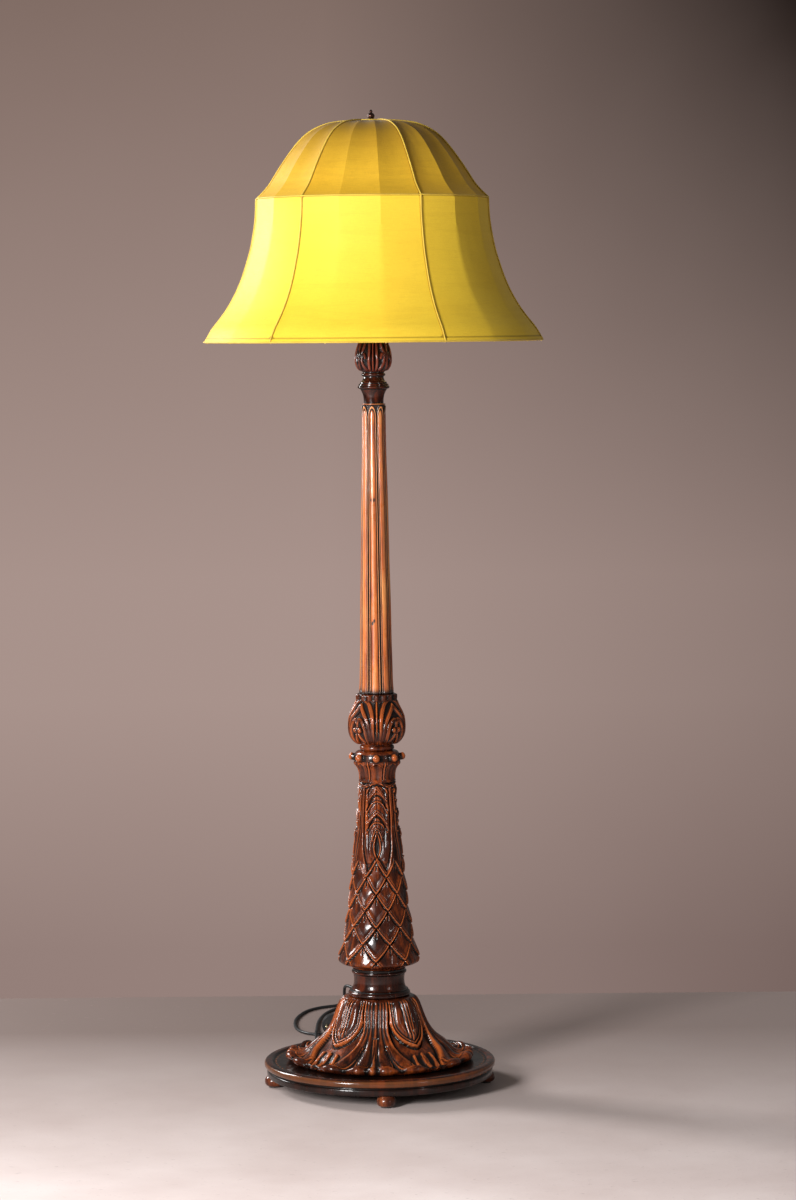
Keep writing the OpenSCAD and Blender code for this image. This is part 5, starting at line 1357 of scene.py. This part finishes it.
def sew(piece, outer, seam):
    """Gives a shell its cloth map, in metres from the middle of each gore and up the cloth, and
    its distance from the nearest seam."""
    rows, columns = outer.shape[:2]
    bay, s = np.divmod(np.arange(columns), PER_BAY)
    gore = (bay - SEAM_AT) % GORE_BAYS + s / PER_BAY - GORE_BAYS / 2
    side = np.linalg.norm(outer[:, PER_BAY] - outer[:, 0], axis=-1)
    along = np.r_[0, np.cumsum(np.linalg.norm(np.diff(outer[:, 0], axis=0), axis=1))]
    u = side[:, None, None] * np.stack([gore, gore + 1 / PER_BAY], -1)[None] * MM
    v = np.repeat(along[:, None], columns, 1) * MM
    quad = np.stack([np.stack([u[:-1, :, 0], v[:-1]], -1), np.stack([u[:-1, :, 1], v[:-1]], -1),
                     np.stack([u[1:, :, 1], v[1:]], -1), np.stack([u[1:, :, 0], v[1:]], -1)], 2)
    one = quad.reshape(-1, 4, 2)
    layer = piece.data.uv_layers.new(name="cloth")
    flat_map = np.concatenate([one, one[:, ::-1], np.zeros((2 * columns, 4, 2))]).reshape(-1)
    layer.data.foreach_set("uv", flat_map.astype(np.float32))
    beside = (GORE_BAYS / 2 - np.abs(gore))[None, :] * side[:, None]
    marks = np.minimum(beside, seam(along, along[-1])[:, None])
    attribute = piece.data.attributes.new("seam", "FLOAT", "POINT")
    attribute.data.foreach_set("value", np.r_[marks.ravel(), marks.ravel()].astype(np.float32))
    return float(along[-1])


def cover(name, line, rows, hollow, fullness, seam, material, node, seed):
    """A cloth of two skins: each bay less a hollow that grows as sin(pi s), plus faint pulls."""
    outline = evenly(line, rows)
    way = round_the_shade(np.linspace(*fullness, rows))
    s = (np.arange(way.shape[1]) % PER_BAY) / PER_BAY
    t = np.linspace(0, 1, rows)[:, None]
    draw = hollow * np.sin(np.pi * s)[None, :] * np.sin(np.pi * np.clip(t * 0.96 + 0.02, 0, 1)) ** 0.8
    draw = draw - cloth_pulls(rows, way.shape[1], seed) * np.sin(np.pi * s)[None, :] ** 0.5
    step = np.gradient(outline, axis=0)
    square = np.stack([step[:, 1], -step[:, 0]], -1)
    square /= np.linalg.norm(square, axis=1)[:, None] * np.sign(square[:, 0].sum())
    skins = []
    for sink in (0.0, SILK_T):
        r = outline[:, :1] - draw * np.abs(square[:, :1]) - sink * square[:, :1]
        z = outline[:, 1:] - draw * square[:, 1:] - sink * square[:, 1:]
        skins.append(np.concatenate([r[..., None] * way, z[..., None]], -1))
    outer, inner = (skin[::-1] if outline[0, 1] > outline[-1, 1] else skin for skin in skins)
    points, faces = two_skins(outer, inner)
    piece = make_mesh(name, points * MM, faces, "shade", material, 14)
    piece.data.materials.append(lining)
    index = np.zeros(len(faces), np.int32)
    index[(rows - 1) * way.shape[1]:2 * (rows - 1) * way.shape[1]] = 1
    piece.data.polygons.foreach_set("material_index", index)
    slant = sew(piece, outer, seam)
    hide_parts(node)
    print(name, len(faces), "faces, slant height", round(slant, 1), "mm")
    return piece


WAIST_FULL, HEM_FULL = 0.2, 0.75
HEM_BAND, BAND_T = 7.6, 0.6


def skirt_seams(along, slant):
    """Millimetres from the waist, and from the top edge of the hem band; along starts at the hem."""
    return np.minimum(slant - along, np.abs(along - HEM_BAND - 1.2) + 0.6)


def dome_seams(along, slant):
    """Millimetres from the waist, and from the binding at the crown."""
    return np.minimum(along, slant - along)


skirt_cloth = cover("skirt_silk_cover", skirt_line, 110, 0.0, (WAIST_FULL, HEM_FULL), skirt_seams, skirt_silk,
                    "skirt_cover", 3)
dome_cloth = cover("dome_silk_cover", dome_line, 76, 2.6, (0.0, 0.0), dome_seams, dome_silk_olive_and_shaded, "dome_cover", 4)

# %% Hem band
whole_skirt = evenly(skirt_line, 290)
from_hem = run_of(whole_skirt[::-1])[::-1]
low_hem = evenly(whole_skirt[from_hem <= HEM_BAND], 9)


def outward(line, rise):
    """The outline moved square to itself, away from the lamp's middle."""
    step = np.gradient(line, axis=0)
    square = np.stack([-step[:, 1], step[:, 0]], -1)
    square /= np.linalg.norm(square, axis=1)[:, None]
    return line + rise * square


def hem_seams(along, slant):
    return np.where(along > slant - 0.5, 0.0, 9.0)


hem_way = round_the_shade(np.full(9, HEM_FULL))
hem_skins = []
for edge in (outward(low_hem, BAND_T + 0.05), outward(low_hem, 0.05)):
    height = np.repeat(edge[:, None, 1:], hem_way.shape[1], 1)
    hem_skins.append(np.concatenate([edge[:, None, :1] * hem_way, height], -1)[::-1])
points, faces = two_skins(*hem_skins)
hem_band = make_mesh("hem_band", points * MM, faces, "shade", skirt_silk, 30)
sew(hem_band, hem_skins[0], hem_seams)
print("hem band", HEM_BAND, "mm")

# %% [markdown]
# ## Piping
# Folded strips of the same silk are sewn round a thin cord and laid along six wires, the waist
# and the hem, where they hide the seams. At the hem a narrow band of silk is turned up over the
# bottom ring, with one line of piping below it.

# %% Piping of the shade
TRIM_R = 1.3


def piping_cloth():
    """Bias silk pulled tight round a cord: slanting threads and a darker, more olive tone."""
    n = Nodes("piping_cloth")
    threads = n.noise(n.coordinates((1, 1, 1), rotation=(0.6, 0.5, 0)), 1500.0, 2.0)
    shade = n.noise(n.coordinates(), 35.0, 3.0)
    tint = n.mix(n.span(shade, 0.3, 0.7, 0, 1), srgb(226, 194, 66), srgb(206, 170, 50))
    return n.finish(Base_Color=n.mix(n.span(threads, 0.4, 0.7, 0, 0.4), tint, srgb(160, 122, 30)),
                    Roughness=0.6,
                    Sheen_Weight=0.1, Normal=n.bump(threads, 0.5, 0.0005))


piping = piping_cloth()


def ring_path(radius, z, fullness):
    """Points round the shade at one height."""
    way = round_the_shade([fullness], 8)[0]
    return np.concatenate([way * radius, np.full((len(way), 1), z)], -1)


whole_line = np.vstack([evenly(dome_line, 40)[::-1], evenly(skirt_line, 46)[1:]])
raised = outward(whole_line, TRIM_R - 0.3)
for k in range(6):
    way = front_direction(RIB_TURN + 20 * (SEAM_AT + GORE_BAYS * k))
    path = np.concatenate([raised[:, :1] * way[None, :], raised[:, 1:]], -1)
    swept(f"rib_piping_{k + 1}", path * MM, TRIM_R * MM, 10, piping, "shade",
                       replace=("rib_trims",), first_side=(way[1], -way[0], 0))
for name, radius, z, fullness, thick, node in (
        ("waist_piping", WAIST_R + TRIM_R - 0.3, WAIST_Z, WAIST_FULL, TRIM_R, ("waist_trim",)),
        ("hem_piping", HEM_R + TRIM_R - 0.9, WAIST_Z - SKIRT_H + TRIM_R, HEM_FULL, TRIM_R, ("hem_trim",)),
        ("crown_binding", CROWN_R - 0.4, WAIST_Z + DOME_H + 0.2, 0.0, 1.5, ())):
    swept(name, ring_path(radius, z, fullness) * MM, thick * MM, 10, piping, "shade",
                        replace=node, closed=True)

# %% Area of the cloth
side = 2 * math.sin(math.radians(10))


def cloth_area(line):
    """Sum over the rows of slant height times the straight perimeter halfway up the row."""
    q = evenly(line, 300)
    middle = (q[1:, 0] + q[:-1, 0]) / 2
    lean = np.hypot(np.diff(q[:, 0]) * math.cos(math.radians(10)), np.diff(q[:, 1]))
    return float((lean * middle * side * RIB_COUNT).sum()) * 1e-6


print("skirt", round(cloth_area(skirt_line), 4), "m2, dome", round(cloth_area(dome_line), 4), "m2")
